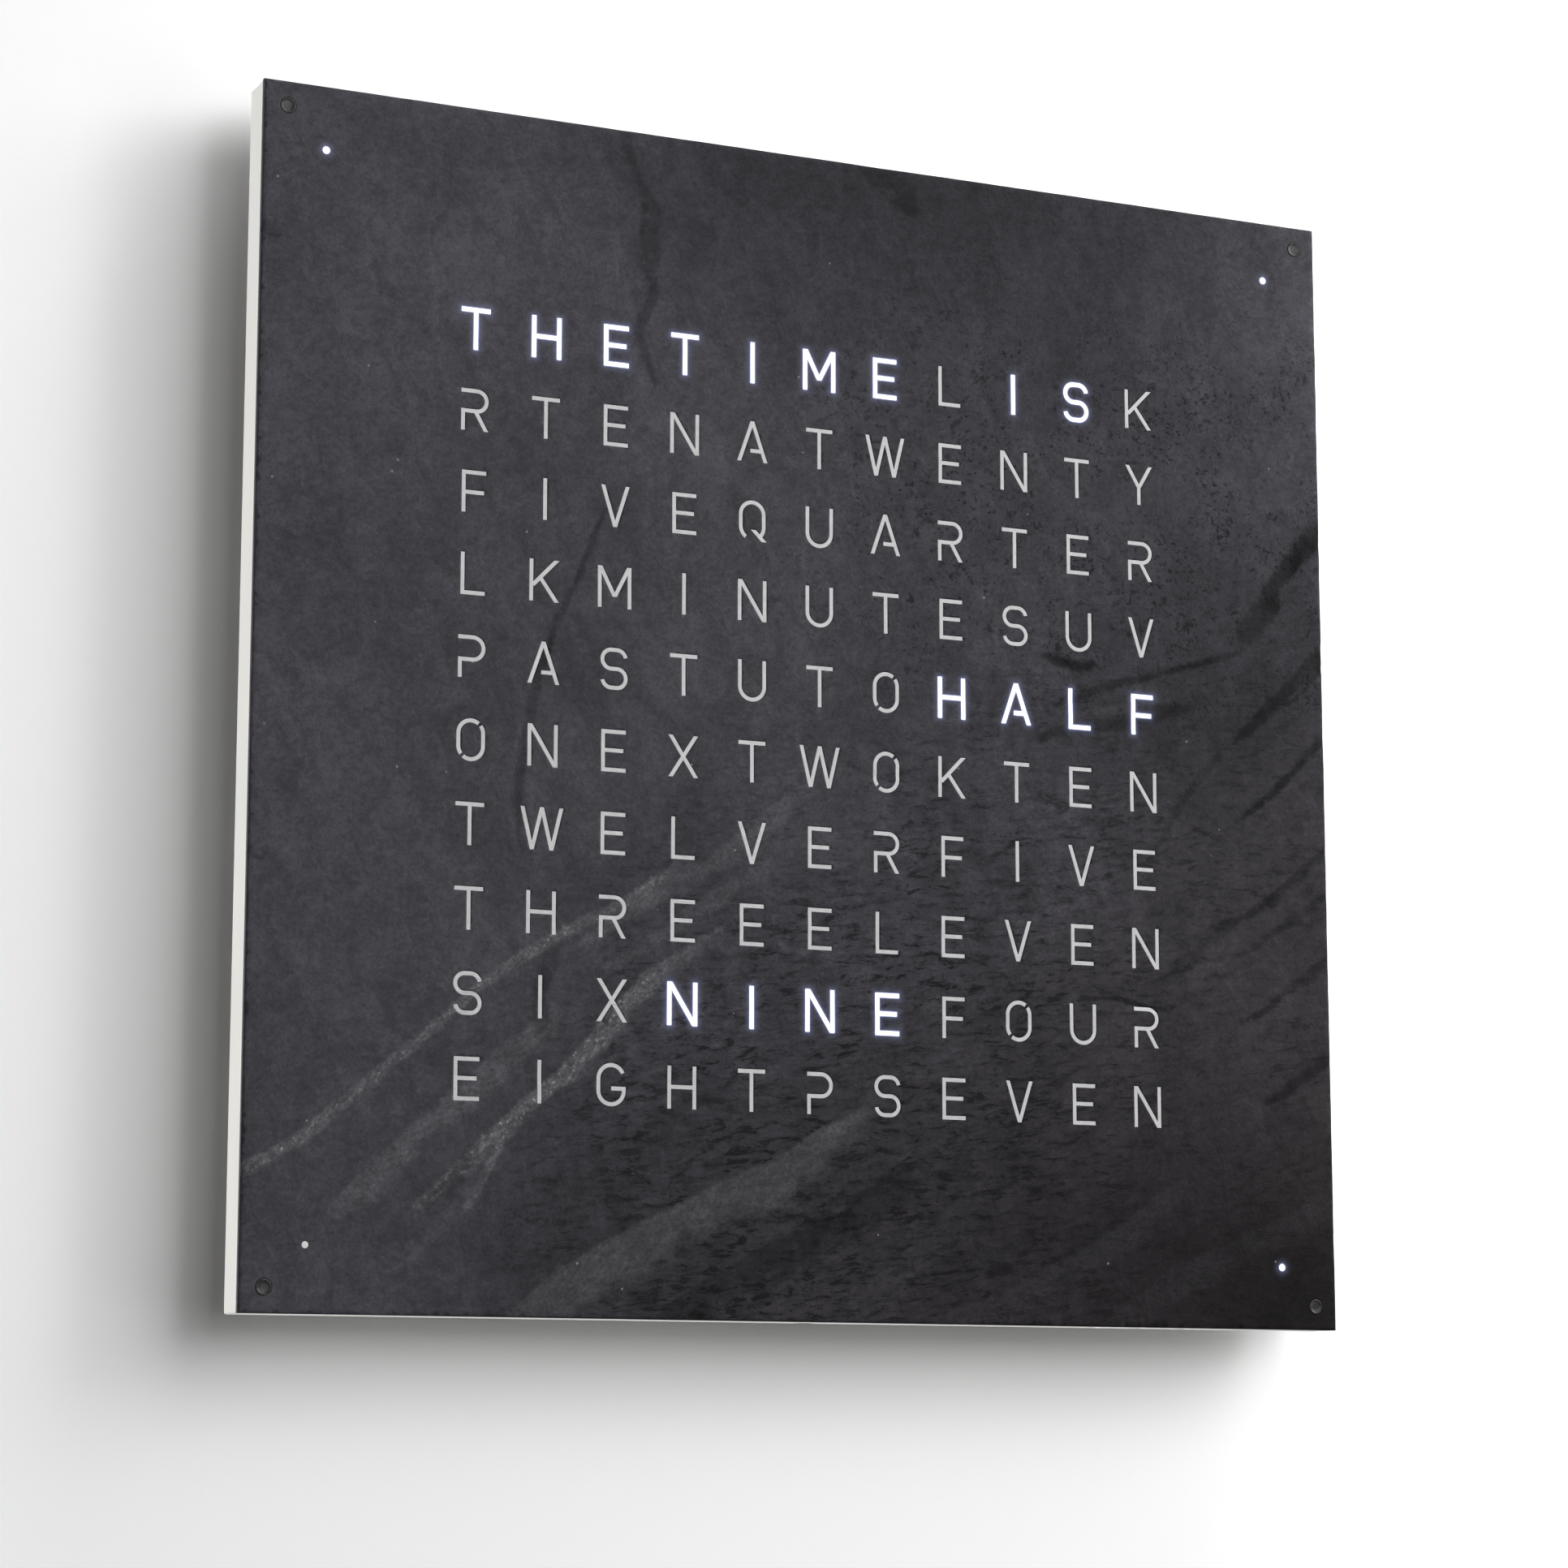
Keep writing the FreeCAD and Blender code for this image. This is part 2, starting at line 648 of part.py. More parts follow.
def draw_p(pen, low_level=0.43):
    """A bowl that is open at its upper left, where the stem stops short."""
    low = pen.high * low_level
    radius = (pen.high - pen.half - low) / 2
    centre_x = pen.wide - pen.half - radius
    pen.stem(pen.half, 0.0, low)
    pen.bar(0.0, centre_x, pen.high - pen.half)
    pen.bend(centre_x, low + radius, radius, -90, 90)
    pen.bar(0.0, centre_x, low)


def draw_q(pen, hook_end=235, tail_end=315, tail_place=0.54, tail_level=0.28, inset=0.4):
    """A ring left open at its foot, with a tail through its lower right."""
    turn = pen.wide / 2
    radius = turn - pen.half
    pen.bend(turn, turn, radius, 180, hook_end)
    pen.stem(pen.half, turn, pen.high - turn)
    pen.bend(turn, pen.high - turn, radius, 0, 180)
    pen.stem(pen.wide - pen.half, turn, pen.high - turn)
    pen.bend(turn, turn, radius, tail_end, 360)
    pen.slant((pen.wide * tail_place, pen.high * tail_level), (pen.wide - pen.stroke * inset, 0.0))


def draw_r(pen, low_level=0.47, leg_place=0.52, inset=0.6):
    draw_p(pen, low_level)
    pen.slant((pen.wide * leg_place, pen.high * low_level), (pen.wide - pen.stroke * inset, 0.0))


def draw_s(pen, opening=12):
    radius = (pen.high - pen.stroke) / 4
    left, right = pen.half + radius, pen.wide - pen.half - radius
    upper, lower = pen.high - pen.half - radius, pen.half + radius
    pen.bend(right, upper, radius, opening, 90)
    pen.bar(left, right, pen.high - pen.half)
    pen.bend(left, upper, radius, 90, 270)
    pen.bar(left, right, pen.high / 2)
    pen.bend(right, lower, radius, -90, 90)
    pen.bar(left, right, pen.half)
    pen.bend(left, lower, radius, 180 + opening, 270)


def draw_t(pen):
    pen.stem(pen.wide / 2)
    pen.bar(0.0, pen.wide, pen.high - pen.half)


def draw_u(pen):
    turn = pen.wide / 2
    pen.stem(pen.half, turn)
    pen.bend(turn, turn, turn - pen.half, 180, 360)
    pen.stem(pen.wide - pen.half, turn)


def draw_v(pen, inset=0.55):
    edge = pen.stroke * inset
    for side in (edge, pen.wide - edge):
        pen.slant((side, pen.high), (pen.wide / 2, 0.0))


def draw_w(pen, foot_place=0.27, inset=0.52):
    edge, foot = pen.stroke * inset, pen.wide * foot_place
    for top, bottom in ((edge, foot), (pen.wide / 2, foot)):
        pen.slant((top, pen.high), (bottom, 0.0))
        pen.slant((pen.wide - top, pen.high), (pen.wide - bottom, 0.0))


def draw_x(pen, inset=0.57):
    edge = pen.stroke * inset
    pen.slant((edge, 0.0), (pen.wide - edge, pen.high))
    pen.slant((edge, pen.high), (pen.wide - edge, 0.0))


def draw_y(pen, fork_level=0.44, inset=0.55):
    fork, edge = pen.high * fork_level, pen.stroke * inset
    for side in (edge, pen.wide - edge):
        pen.slant((side, pen.high), (pen.wide / 2, fork))
    pen.stem(pen.wide / 2, 0.0, fork)


# Each letter: how it is drawn, and its width as a share of the cap height.
LETTERS = {
    "A": (draw_a, 0.80), "E": (draw_e, 0.62), "F": (draw_f, 0.60), "G": (draw_g, 0.73), "H": (draw_h, 0.73),
    "I": (draw_i, 0.12), "K": (draw_k, 0.74), "L": (draw_l, 0.60), "M": (draw_m, 0.85), "N": (draw_n, 0.75),
    "O": (draw_o, 0.70), "P": (draw_p, 0.67), "Q": (draw_q, 0.70), "R": (draw_r, 0.68), "S": (draw_s, 0.69),
    "T": (draw_t, 0.70), "U": (draw_u, 0.73), "V": (draw_v, 0.73), "W": (draw_w, 1.06), "X": (draw_x, 0.76),
    "Y": (draw_y, 0.76),
}


def is_lit(row, column):
    return any(row == lit_row and first <= column <= last for lit_row, first, last in LIT_RUNS)


def disc(x, z, radius):
    ring = Part.Circle(Vector(x, 0, z), Vector(0, 1, 0), radius).toShape()
    return Part.Face(Part.Wire([ring]))


def letter_faces():
    """The faces of the lit letters and of the unlit ones, in their cells."""
    drawn = {}
    for letter, (draw, width) in LETTERS.items():
        pen = Pen(width)
        draw(pen)
        drawn[letter] = pen.shape()
    lit, unlit = [], []
    for row, column in letter_cells():
        spot = Vector(
            value("column_pitch") * (column - (COLUMN_COUNT - 1) / 2),
            0,
            value("row_pitch") * ((ROW_COUNT - 1) / 2 - row),
        )
        for face in drawn[LETTER_ROWS[row][column]]:
            placed = face.copy()
            placed.translate(spot)
            (lit if is_lit(row, column) else unlit).append(placed)
    return lit, unlit


def corner_discs(corners, place, diameter):
    away, radius = value(place), value(diameter) / 2
    return [disc(x * away, z * away, radius) for x, z in corners]


def profile(name, faces):
    thing = doc.addObject("Part::Feature", name)
    thing.Shape = Part.makeCompound(faces)
    return thing


def extrusion(label, outline, start, length):
    """A flat outline pushed towards the wall."""
    thing = doc.addObject("Part::Extrusion", label)
    thing.Base = outline
    thing.DirMode = "Custom"
    thing.Dir = Vector(0, 1, 0)
    thing.Solid = True
    bind(thing, "LengthFwd", length)
    bind(thing, "Placement.Base.y", start)
    return node(thing, label)


def make_slate_and_fills():
    lit, unlit = letter_faces()
    lit_dots = corner_discs(LIT_DOT_CORNERS, "dot_place", "dot_diameter")
    unlit_dots = corner_discs(UNLIT_DOT_CORNERS, "dot_place", "dot_diameter")
    studs = corner_discs(CORNERS, "stud_place", "stud_diameter")
    half = value("face_half")
    outline = Part.makePolygon([Vector(x * half, 0, z * half) for x, z in CORNERS + CORNERS[:1]])
    holes = [face.OuterWire for face in lit + unlit + lit_dots + unlit_dots + studs]
    stone = Part.Face(outline)
    stone = stone.cut(Part.makeCompound([Part.Face(hole) for hole in holes]))
    extrusion("slate_face", profile("stone_outline", stone.Faces), "face_front", "slate_thickness")
    fill_start, fill_length = "face_front + fill_recess", "slate_thickness - fill_recess"
    for label, faces in (("lit_letter_fills", lit), ("unlit_letter_fills", unlit),
                         ("lit_minute_fills", lit_dots), ("unlit_minute_fill", unlit_dots)):
        extrusion(label, profile(label + "_outline", faces), fill_start, fill_length)


def make_carrier():
    """Steel sheet with a window behind each letter and each minute dot."""
    body = doc.addObject("PartDesign::Body", "cover_carrier")
    outline = sketch(body, "carrier_outline", "frame_front")
    draw_square(outline, "face_half")
    pad(body, "carrier_sheet", outline, "carrier_thickness")
    corner = sketch(body, "carrier_corner", "carrier_front")
    draw_circle(corner, "dot_place", "dot_place", "tube_bore / 2")
    draw_circle(corner, "stud_place", "stud_place", "stud_diameter / 2")
    quarter_turns(body, "carrier_corners", pocket(body, "carrier_holes", corner, "carrier_thickness"))
    window = sketch(body, "carrier_window", "carrier_front")
    draw_rectangle(window, *centred(cell_x(0), "column_pitch - window_web"),
                   *centred(cell_z(0), "row_pitch - window_web"))
    matrix_pattern(body, "carrier_windows", pocket(body, "carrier_cell", window, "carrier_thickness"))
    node(body, "cover_carrier")


def make_windows():
    """Clear inserts that carry the resin letters and let the light through."""
    panes, discs = [], []
    depth = ("carrier_front", "frame_front")
    for row, column in letter_cells():
        panes.append(box(f"pane_{row}_{column}", centred(cell_x(column), "column_pitch - window_web"), depth,
                         centred(cell_z(row), "row_pitch - window_web")))
    node(group("letter_windows", panes), "letter_windows")
    for i, (x, z) in enumerate(CORNERS):
        spot = (f"{x} * dot_place", f"{z} * dot_place")
        discs.append(cylinder(f"dot_pane_{i}", "tube_bore / 2", *spot, depth))
    node(group("minute_windows", discs), "minute_windows")


def make_studs():
    studs = []
    for i, (x, z) in enumerate(CORNERS):
        studs.append(cylinder(f"stud_{i}", "stud_diameter / 2", f"{x} * stud_place", f"{z} * stud_place",
                              ("face_front + stud_recess", "frame_front + stud_reach")))
    node(group("corner_studs", studs), "corner_studs")


# ---- case ----

def make_frame():
    """Lacquered ring with a rebate at the back for the panel and one at the front for the diffuser."""
    body = doc.addObject("PartDesign::Body", "body_frame")
    ring = sketch(body, "frame_ring", "frame_back")
    draw_square(ring, "face_half")
    draw_square(ring, "inner_half")
    pad(body, "frame_rails", ring, "frame_depth")
    doc.recompute()

    rounded = body.newObject("PartDesign::Fillet", "frame_rounding")
    half, back = value("face_half"), value("frame_back")

    def outer_edge(edge):
        points = [vertex.Point for vertex in edge.Vertexes]
        outside = all(max(abs(point.x), abs(point.z)) > half - 0.01 for point in points)
        along = all(abs(point.x) > half - 0.01 and abs(point.z) > half - 0.01 for point in points)
        at_back = all(abs(point.y - back) < 0.01 for point in points)
        across = abs(points[0].y - points[1].y) > 0.01
        return (outside and at_back) or (along and across)

    rounded.Base = (doc.getObject("frame_rails"), edge_names(body.Shape, outer_edge))
    bind(rounded, "Radius", "edge_round")
    body.Tip = rounded
    doc.recompute()

    rear = sketch(body, "panel_rebate_outline", "panel_front")
    draw_square(rear, "inner_half + panel_lap")
    pocket(body, "panel_rebate", rear, "panel_thickness")
    front = sketch(body, "diffuser_rebate_outline", "frame_front")
    draw_square(front, "diffuser_seat")
    pocket(body, "diffuser_rebate", front, "diffuser_back - frame_front")

    magnets = sketch(body, "magnet_spots", "frame_front")
    for side in (-1, 1):
        draw_circle(magnets, f"{side} * magnet_offset", "land_middle", "magnet_diameter / 2")
    quarter_turns(body, "magnet_pockets",
                  pocket(body, "magnet_pair", magnets, "magnet_thickness + magnet_recess"))
    bush = sketch(body, "bush_spot", "frame_front")
    draw_circle(bush, "stud_place", "stud_place", "bush_radius")
    quarter_turns(body, "bush_holes", pocket(body, "bush_hole", bush, "bush_depth"))
    pilots = sketch(body, "pilot_spots", "panel_front - screw_grip")
    for share in SCREW_SHARES:
        draw_circle(pilots, f"{share} * screw_end", "screw_place", "screw_shank / 2")
    quarter_turns(body, "pilot_holes", pocket(body, "pilot_row", pilots, "screw_grip"))

    buttons = sketch(body, "button_spots", "-inner_half", "XY_Plane")
    for name, step in BUTTONS:
        draw_circle(buttons, f"button_middle + {step} * button_spacing", "button_axis", "sleeve_radius")
    pocket(body, "button_holes", buttons, "rail_width")
    notch = sketch(body, "notch_outline", "frame_back - notch_depth")
    draw_rectangle(notch, "-notch_width / 2", "notch_width / 2", "-face_half", "-inner_half")
    pocket(body, "cable_notch", notch, "notch_depth")
    node(body, "body_frame")


def side_spots(along, across, depth):
    """Spots on all four sides of the square, from their places along the top side."""
    spots = []
    for turn in range(4):
        spin = Rotation(Vector(0, 1, 0), 90 * turn)
        spots += [spin.multVec(Vector(x, 0, across)) + Vector(0, depth, 0) for x in along]
    return spots


def make_magnets_and_bushes():
    magnet = cylinder("magnet_pattern", "magnet_diameter / 2", "0", "0", ("0", "magnet_thickness"))
    away = value("magnet_offset")
    copies("cover_magnets", magnet,
           side_spots((-away, away), value("land_middle"), value("frame_front") + value("magnet_recess")))
    bushes = []
    for i, (x, z) in enumerate(CORNERS):
        spot = (f"{x} * stud_place", f"{z} * stud_place", ("frame_front", "frame_front + bush_depth"))
        bushes.append(cut(f"bush_{i}", cylinder(f"bush_outside_{i}", "bush_radius", *spot),
                          cylinder(f"bush_inside_{i}", "bush_radius - bush_wall", *spot)))
    node(group("stud_bushes", bushes), "stud_bushes")


def make_panel():
    """Rear panel with windows for the two hangers and for the power inlet."""
    body = doc.addObject("PartDesign::Body", "rear_panel")
    outline = sketch(body, "panel_outline", "frame_back")
    draw_square(outline, "panel_half")
    pad(body, "panel_sheet", outline, "panel_thickness")
    openings = sketch(body, "panel_openings", "panel_front")
    for side in (-1, 1):
        draw_rectangle(openings, *centred(f"{side} * keyhole_spacing / 2", "2 * window_half"),
                       "window_low", "window_high")
        for height in ("rivet_low", "rivet_high"):
            draw_circle(openings, f"{side} * keyhole_spacing / 2", height, "rivet_diameter / 2")
    draw_rectangle(openings, "-inlet_width / 2", "inlet_width / 2", "inlet_low", "inlet_high")
    pocket(body, "panel_windows", openings, "panel_thickness")
    slot = sketch(body, "panel_slot_outline", "panel_front")
    draw_rectangle(slot, "-notch_width / 2", "notch_width / 2", "-panel_half", "inlet_low")
    pocket(body, "panel_cable_slot", slot, "panel_thickness")
    screws = sketch(body, "panel_screw_spots", "panel_front")
    for share in SCREW_SHARES:
        draw_circle(screws, f"{share} * screw_end", "screw_place", "screw_hole_radius")
    quarter_turns(body, "panel_screw_holes", pocket(body, "panel_screw_row", screws, "panel_thickness"))

    radius, back = value("screw_hole_radius"), value("frame_back")

    def hole_mouth(edge):
        curve = edge.Curve
        round_edge = isinstance(curve, Part.Circle) and abs(curve.Radius - radius) < 0.01
        return round_edge and abs(curve.Center.y - back) < 0.01

    sinks = body.newObject("PartDesign::Chamfer", "panel_countersinks")
    sinks.Base = (doc.getObject("panel_screw_holes"), edge_names(body.Shape, hole_mouth))
    bind(sinks, "Size", "screw_head_cone - screw_clearance")
    body.Tip = sinks
    doc.recompute()
    node(body, "rear_panel")


def make_panel_screws():
    """Countersunk screws with a cross recess, heads flush with the back of the panel."""
    head = doc.addObject("Part::Cone", "screw_head")
    bind(head, "Radius1", "screw_shank / 2")
    bind(head, "Radius2", "screw_shank / 2 + screw_head_cone")
    bind(head, "Height", "screw_head_cone")
    head.Placement = Placement(Vector(), Rotation(Vector(1, 0, 0), -90))
    bind(head, "Placement.Base.y", "-screw_head_cone")
    shank = cylinder("screw_shank_body", "screw_shank / 2", "0", "0", ("-screw_length", "-screw_head_cone"))
    depth = ("-screw_slot_depth", "screw_slot_depth")
    long, short = centred("0", "screw_slot_length"), centred("0", "screw_slot_width")
    level, upright = box("cross_level", long, depth, short), box("cross_upright", short, depth, long)
    cross = fuse("screw_cross", [level, upright])
    screw = cut("screw_pattern", fuse("screw_body", [head, shank]), cross)
    along = [share * value("screw_end") for share in SCREW_SHARES]
    copies("rear_panel_screws", screw, side_spots(along, value("screw_place"), value("frame_back")))


def make_hangers():
    """Steel keyhole plates riveted to the back of the panel, and rubber bumpers."""
    plates, rivets = [], []
    through = ("frame_back", "plate_back")
    for side, name in ((-1, "left"), (1, "right")):
        middle = f"{side} * keyhole_spacing / 2"
        top = "keyhole_height + keyhole_rise"
        plate = box(f"plate_{name}", centred(middle, "plate_width"), through, ("plate_low", "plate_high"))
        entry = cylinder(f"entry_{name}", "keyhole_entry / 2", middle, "keyhole_height", through)
        slot = box(f"slot_{name}", centred(middle, "keyhole_slot"), through, ("keyhole_height", top))
        slot_end = cylinder(f"slot_end_{name}", "keyhole_slot / 2", middle, top, through)
        holes = [entry, slot, slot_end]
        for height in ("rivet_low", "rivet_high"):
            holes.append(cylinder(f"hole_{name}_{height}", "rivet_diameter / 2", middle, height, through))
            shank = cylinder(f"shank_{name}_{height}", "rivet_diameter / 2", middle, height,
                             ("panel_front", "plate_back"))
            cap = cylinder(f"cap_{name}_{height}", "rivet_head / 2", middle, height,
                           ("plate_back", "rivet_back"))
            rivets.append(fuse(f"rivet_{name}_{height}", [shank, cap]))
        plates.append(cut(f"hanger_{name}", plate, fuse(f"keyhole_{name}", holes)))
    node(group("keyhole_plates", plates), "keyhole_plates")
    node(group("keyhole_rivets", rivets), "keyhole_rivets")
    bumpers = []
    for i, (x, z) in enumerate(CORNERS + ((0, 0),)):
        bumpers.append(cylinder(f"bumper_{i}", "bumper_diameter / 2", f"{x} * bumper_place",
                                f"{z} * bumper_place", ("frame_back", "0")))
    node(group("wall_bumpers", bumpers), "wall_bumpers")


# ---- light ----

def make_diffuser():
    node(box("diffuser_sheet", ("-diffuser_half", "diffuser_half"), ("diffuser_front", "diffuser_back"),
             ("-diffuser_half", "diffuser_half")), "diffuser_sheet")


def make_baffle():
    """Egg-crate grid, one cell to a letter."""
    body = doc.addObject("PartDesign::Body", "light_baffle")
    outline = sketch(body, "baffle_outline", "board_front")
    draw_square(outline, "baffle_half")
    pad(body, "baffle_block", outline, "light_depth")
    cell = sketch(body, "baffle_cell_outline", "diffuser_back")
    draw_rectangle(cell, *centred(cell_x(0), "column_pitch - baffle_web"),
                   *centred(cell_z(0), "row_pitch - baffle_web"))
    matrix_pattern(body, "baffle_cells", pocket(body, "baffle_cell", cell, "light_depth"))
    node(body, "light_baffle")


def make_led_strips():
    """One board per row, an LED per letter, and a connector to the upright bus board."""
    leds, connectors = [], []
    for row in range(ROW_COUNT):
        label = f"led_strip_{row + 1:02d}"
        strip_x = ("-strip_left", "baffle_half")
        node(box(label, strip_x, BOARD_DEPTH, centred(cell_z(row), "strip_width")), label)
        connectors.append(box(f"connector_{row}", centred("-bus_right + board_gap / 2", "connector_length"),
                              on_board("connector_height"),
                              centred(cell_z(row), "connector_width")))
        for column in range(COLUMN_COUNT):
            leds.append(box(f"led_{row}_{column}", centred(cell_x(column), "led_side"),
                            on_board("led_height"), centred(cell_z(row), "led_side")))
    node(group("letter_leds", leds), "letter_leds")
    node(group("strip_connectors", connectors), "strip_connectors")
    bus_x = ("-bus_left", "-bus_right")
    node(box("bus_board", bus_x, BOARD_DEPTH, ("-baffle_half", "baffle_half")), "bus_board")


def make_minute_lights():
    """A board, an LED and a light tube behind each minute dot."""
    boards, leds, tubes = [], [], []
    for i, (x, z) in enumerate(CORNERS):
        middle_x, middle_z = f"{x} * dot_place", f"{z} * dot_place"
        board_x, board_z = centred(middle_x, "dot_board_side"), centred(middle_z, "dot_board_side")
        led_x, led_z = centred(middle_x, "led_side"), centred(middle_z, "led_side")
        boards.append(box(f"dot_board_{i}", board_x, BOARD_DEPTH, board_z))
        leds.append(box(f"dot_led_{i}", led_x, on_board("led_height"), led_z))
        spot = (middle_x, middle_z, ("diffuser_back", "board_front"))
        tubes.append(cut(f"tube_{i}", cylinder(f"tube_outside_{i}", "tube_radius", *spot),
                         cylinder(f"tube_inside_{i}", "tube_bore / 2", *spot)))
    node(group("minute_led_boards", boards), "minute_led_boards")
    node(group("minute_leds", leds), "minute_leds")
    node(group("minute_light_tubes", tubes), "minute_light_tubes")


def flat_cable(name, runs):
    """A flat cable on the rear panel, from its X and Z spans."""
    return fuse(name, [box(f"{name}_{i}", x_span, FLEX_DEPTH, z_span)
                       for i, (x_span, z_span) in enumerate(runs)])


def make_flat_cables():
    """Flat cables from the bus board and the control board to the corner boards."""
    edge = "dot_place - dot_board_side / 2"
    end_column = ("-bus_left", "-bus_left + flex_width")
    near_dot = centred("dot_place", "flex_width")
    upper_left = flat_cable("flex_upper_left", [
        (end_column, ("baffle_half", "dot_place + flex_width / 2")),
        ((f"-({edge})", "-bus_left + flex_width"), near_dot)])
    lower_left = flat_cable("flex_lower_left", [
        (end_column, ("-dot_place - flex_width / 2", "-baffle_half")),
        ((f"-({edge})", "-bus_left + flex_width"), centred("-dot_place", "flex_width"))])
    rise = ("baffle_half + board_gap", "baffle_half + board_gap + flex_width")
    upper_right = flat_cable("flex_upper_right", [
        (("-bus_right - flex_width", "-bus_right"), ("baffle_half", rise[1])),
        (("-bus_right - flex_width", "dot_place + flex_width / 2"), rise),
        (near_dot, (rise[0], edge))])
    lower_right = box("flex_lower_right", ("control_end", edge), FLEX_DEPTH,
                      centred("-dot_place", "flex_width"))
    node(group("minute_flexes", [upper_left, upper_right, lower_right, lower_left]), "minute_flexes")
    link = flat_cable("matrix_flex", [
        (("-bus_right - 2 * flex_width", "control_start"), centred("control_middle", "2 * flex_width")),
        (("-bus_right - 2 * flex_width", "-bus_right"), ("control_middle - flex_width", "-baffle_half"))])
    node(link, "matrix_flex")


# ---- power inlet, control board and buttons ----

def make_inlet():
    """Cup open to the back, with the jack in its upper wall and a notch for the cable below."""
    cup = box("cup_outside", ("-cup_half", "cup_half"), ("cup_front", "panel_front"), ("cup_low", "cup_high"))
    room = box("cup_inside", centred("0", "inlet_width"), ("cup_front + inlet_wall", "panel_front"),
               ("inlet_low", "inlet_high"))
    notch = box("cup_notch", centred("0", "notch_width"), ("frame_back - notch_depth", "panel_front"),
                ("cup_low", "inlet_low"))
    mouth = post("cup_mouth", "jack_bore / 2 + inlet_clearance", "0", "jack_axis", ("inlet_high", "cup_high"))
    node(cut("inlet_housing", cup, fuse("cup_openings", [room, notch, mouth])), "inlet_housing")

    shell = box("jack_shell", centred("0", "jack_width"), ("panel_front - jack_depth", "panel_front"),
                ("cup_high", "jack_high"))
    tabs = box("jack_tabs", centred("0", "jack_width + 2 * tab_length"), on_board("tab_thickness"),
               centred("(cup_high + jack_high) / 2", "tab_width"))
    bore_end = "cup_high + jack_bore_depth"
    bore = post("jack_bore_hole", "jack_bore / 2", "0", "jack_axis", ("cup_high", bore_end))
    node(cut("dc_jack", fuse("jack_outside", [shell, tabs]), bore), "dc_jack")
    node(post("dc_jack_pin", "jack_pin / 2", "0", "jack_axis", ("cup_high + jack_pin_recess", bore_end)),
         "dc_jack_pin")


def make_control_board():
    """Board beside the inlet, cut out round the cup and the jack that sits in its edge."""
    board_x = ("control_start", "control_end")
    sheet = box("control_sheet", board_x, BOARD_DEPTH, ("control_low", "control_high"))
    cup_room = box("control_cup_room", ("-cup_half - board_gap", "cup_half + board_gap"), BOARD_DEPTH,
                   ("control_low", "cup_high + board_gap"))
    jack_room = box("control_jack_room", centred("0", "jack_width + 2 * board_gap"), BOARD_DEPTH,
                    ("cup_high", "jack_high + board_gap"))
    node(cut("control_board", sheet, fuse("control_openings", [cup_room, jack_room])), "control_board")
    node(box("controller_chip", centred("chip_place", "chip_side"), on_board("chip_height"),
             centred("control_middle", "chip_side")), "controller_chip")
    drivers = []
    for i in range(6):
        drivers.append(box(f"driver_{i}", centred(f"driver_place + {i % 3} * driver_pitch", "driver_side"),
                           on_board("driver_height"),
                           centred(f"control_middle + {0.5 - i // 3} * driver_pitch * 1.4", "driver_side")))
    node(group("led_driver_chips", drivers), "led_driver_chips")
    holder_front = "board_front - holder_floor - cell_thickness"
    rim = cylinder("holder_rim", "cell_diameter / 2 + holder_wall", "holder_place", "control_middle",
                   (holder_front, "board_front"))
    well = cylinder("holder_well", "cell_diameter / 2", "holder_place", "control_middle",
                    (holder_front, "board_front - holder_floor"))
    node(cut("coin_cell_holder", rim, well), "coin_cell_holder")
    node(cylinder("coin_cell", "cell_diameter / 2", "holder_place", "control_middle",
                  (holder_front, "board_front - holder_floor")), "coin_cell")


def make_buttons():
    """Three push buttons in the lower rail, each below a switch on the control board."""
    sleeves, switches = [], []
    for name, step in BUTTONS:
        x = f"button_middle + {step} * button_spacing"
        sleeves.append(cut(f"sleeve_{name}",
                           post(f"sleeve_outside_{name}", "sleeve_radius", x, "button_axis",
                                ("-face_half", "-inner_half")),
                           post(f"sleeve_inside_{name}", "sleeve_radius - sleeve_wall", x, "button_axis",
                                ("-face_half", "-inner_half"))))
        plunger = post(f"plunger_{name}", "button_diameter / 2", x, "button_axis", ("button_low", "tip_high"))
        collar_radius = "button_diameter / 2 + button_clearance + collar_width"
        collar = post(f"collar_{name}", collar_radius, x, "button_axis", ("collar_low", "collar_high"))
        node(fuse(f"button_{name}", [plunger, collar]), f"button_{name}")
        node(post(f"switch_plunger_{name}", "nib_diameter / 2", x, "button_axis",
                  ("tip_high", "tip_high + nib_length")), f"switch_plunger_{name}")
        block = box(f"switch_block_{name}", centred(x, "switch_side"), on_board("switch_side"),
                    ("switch_low", "switch_low + switch_side"))
        bore = post(f"switch_bore_{name}", "nib_diameter / 2 + nib_clearance", x, "button_axis",
                    ("switch_low", "switch_low + switch_bore_depth"))
        switches.append(cut(f"switch_{name}", block, bore))
    node(group("button_sleeves", sleeves), "button_sleeves")
    node(group("tact_switches", switches), "tact_switches")


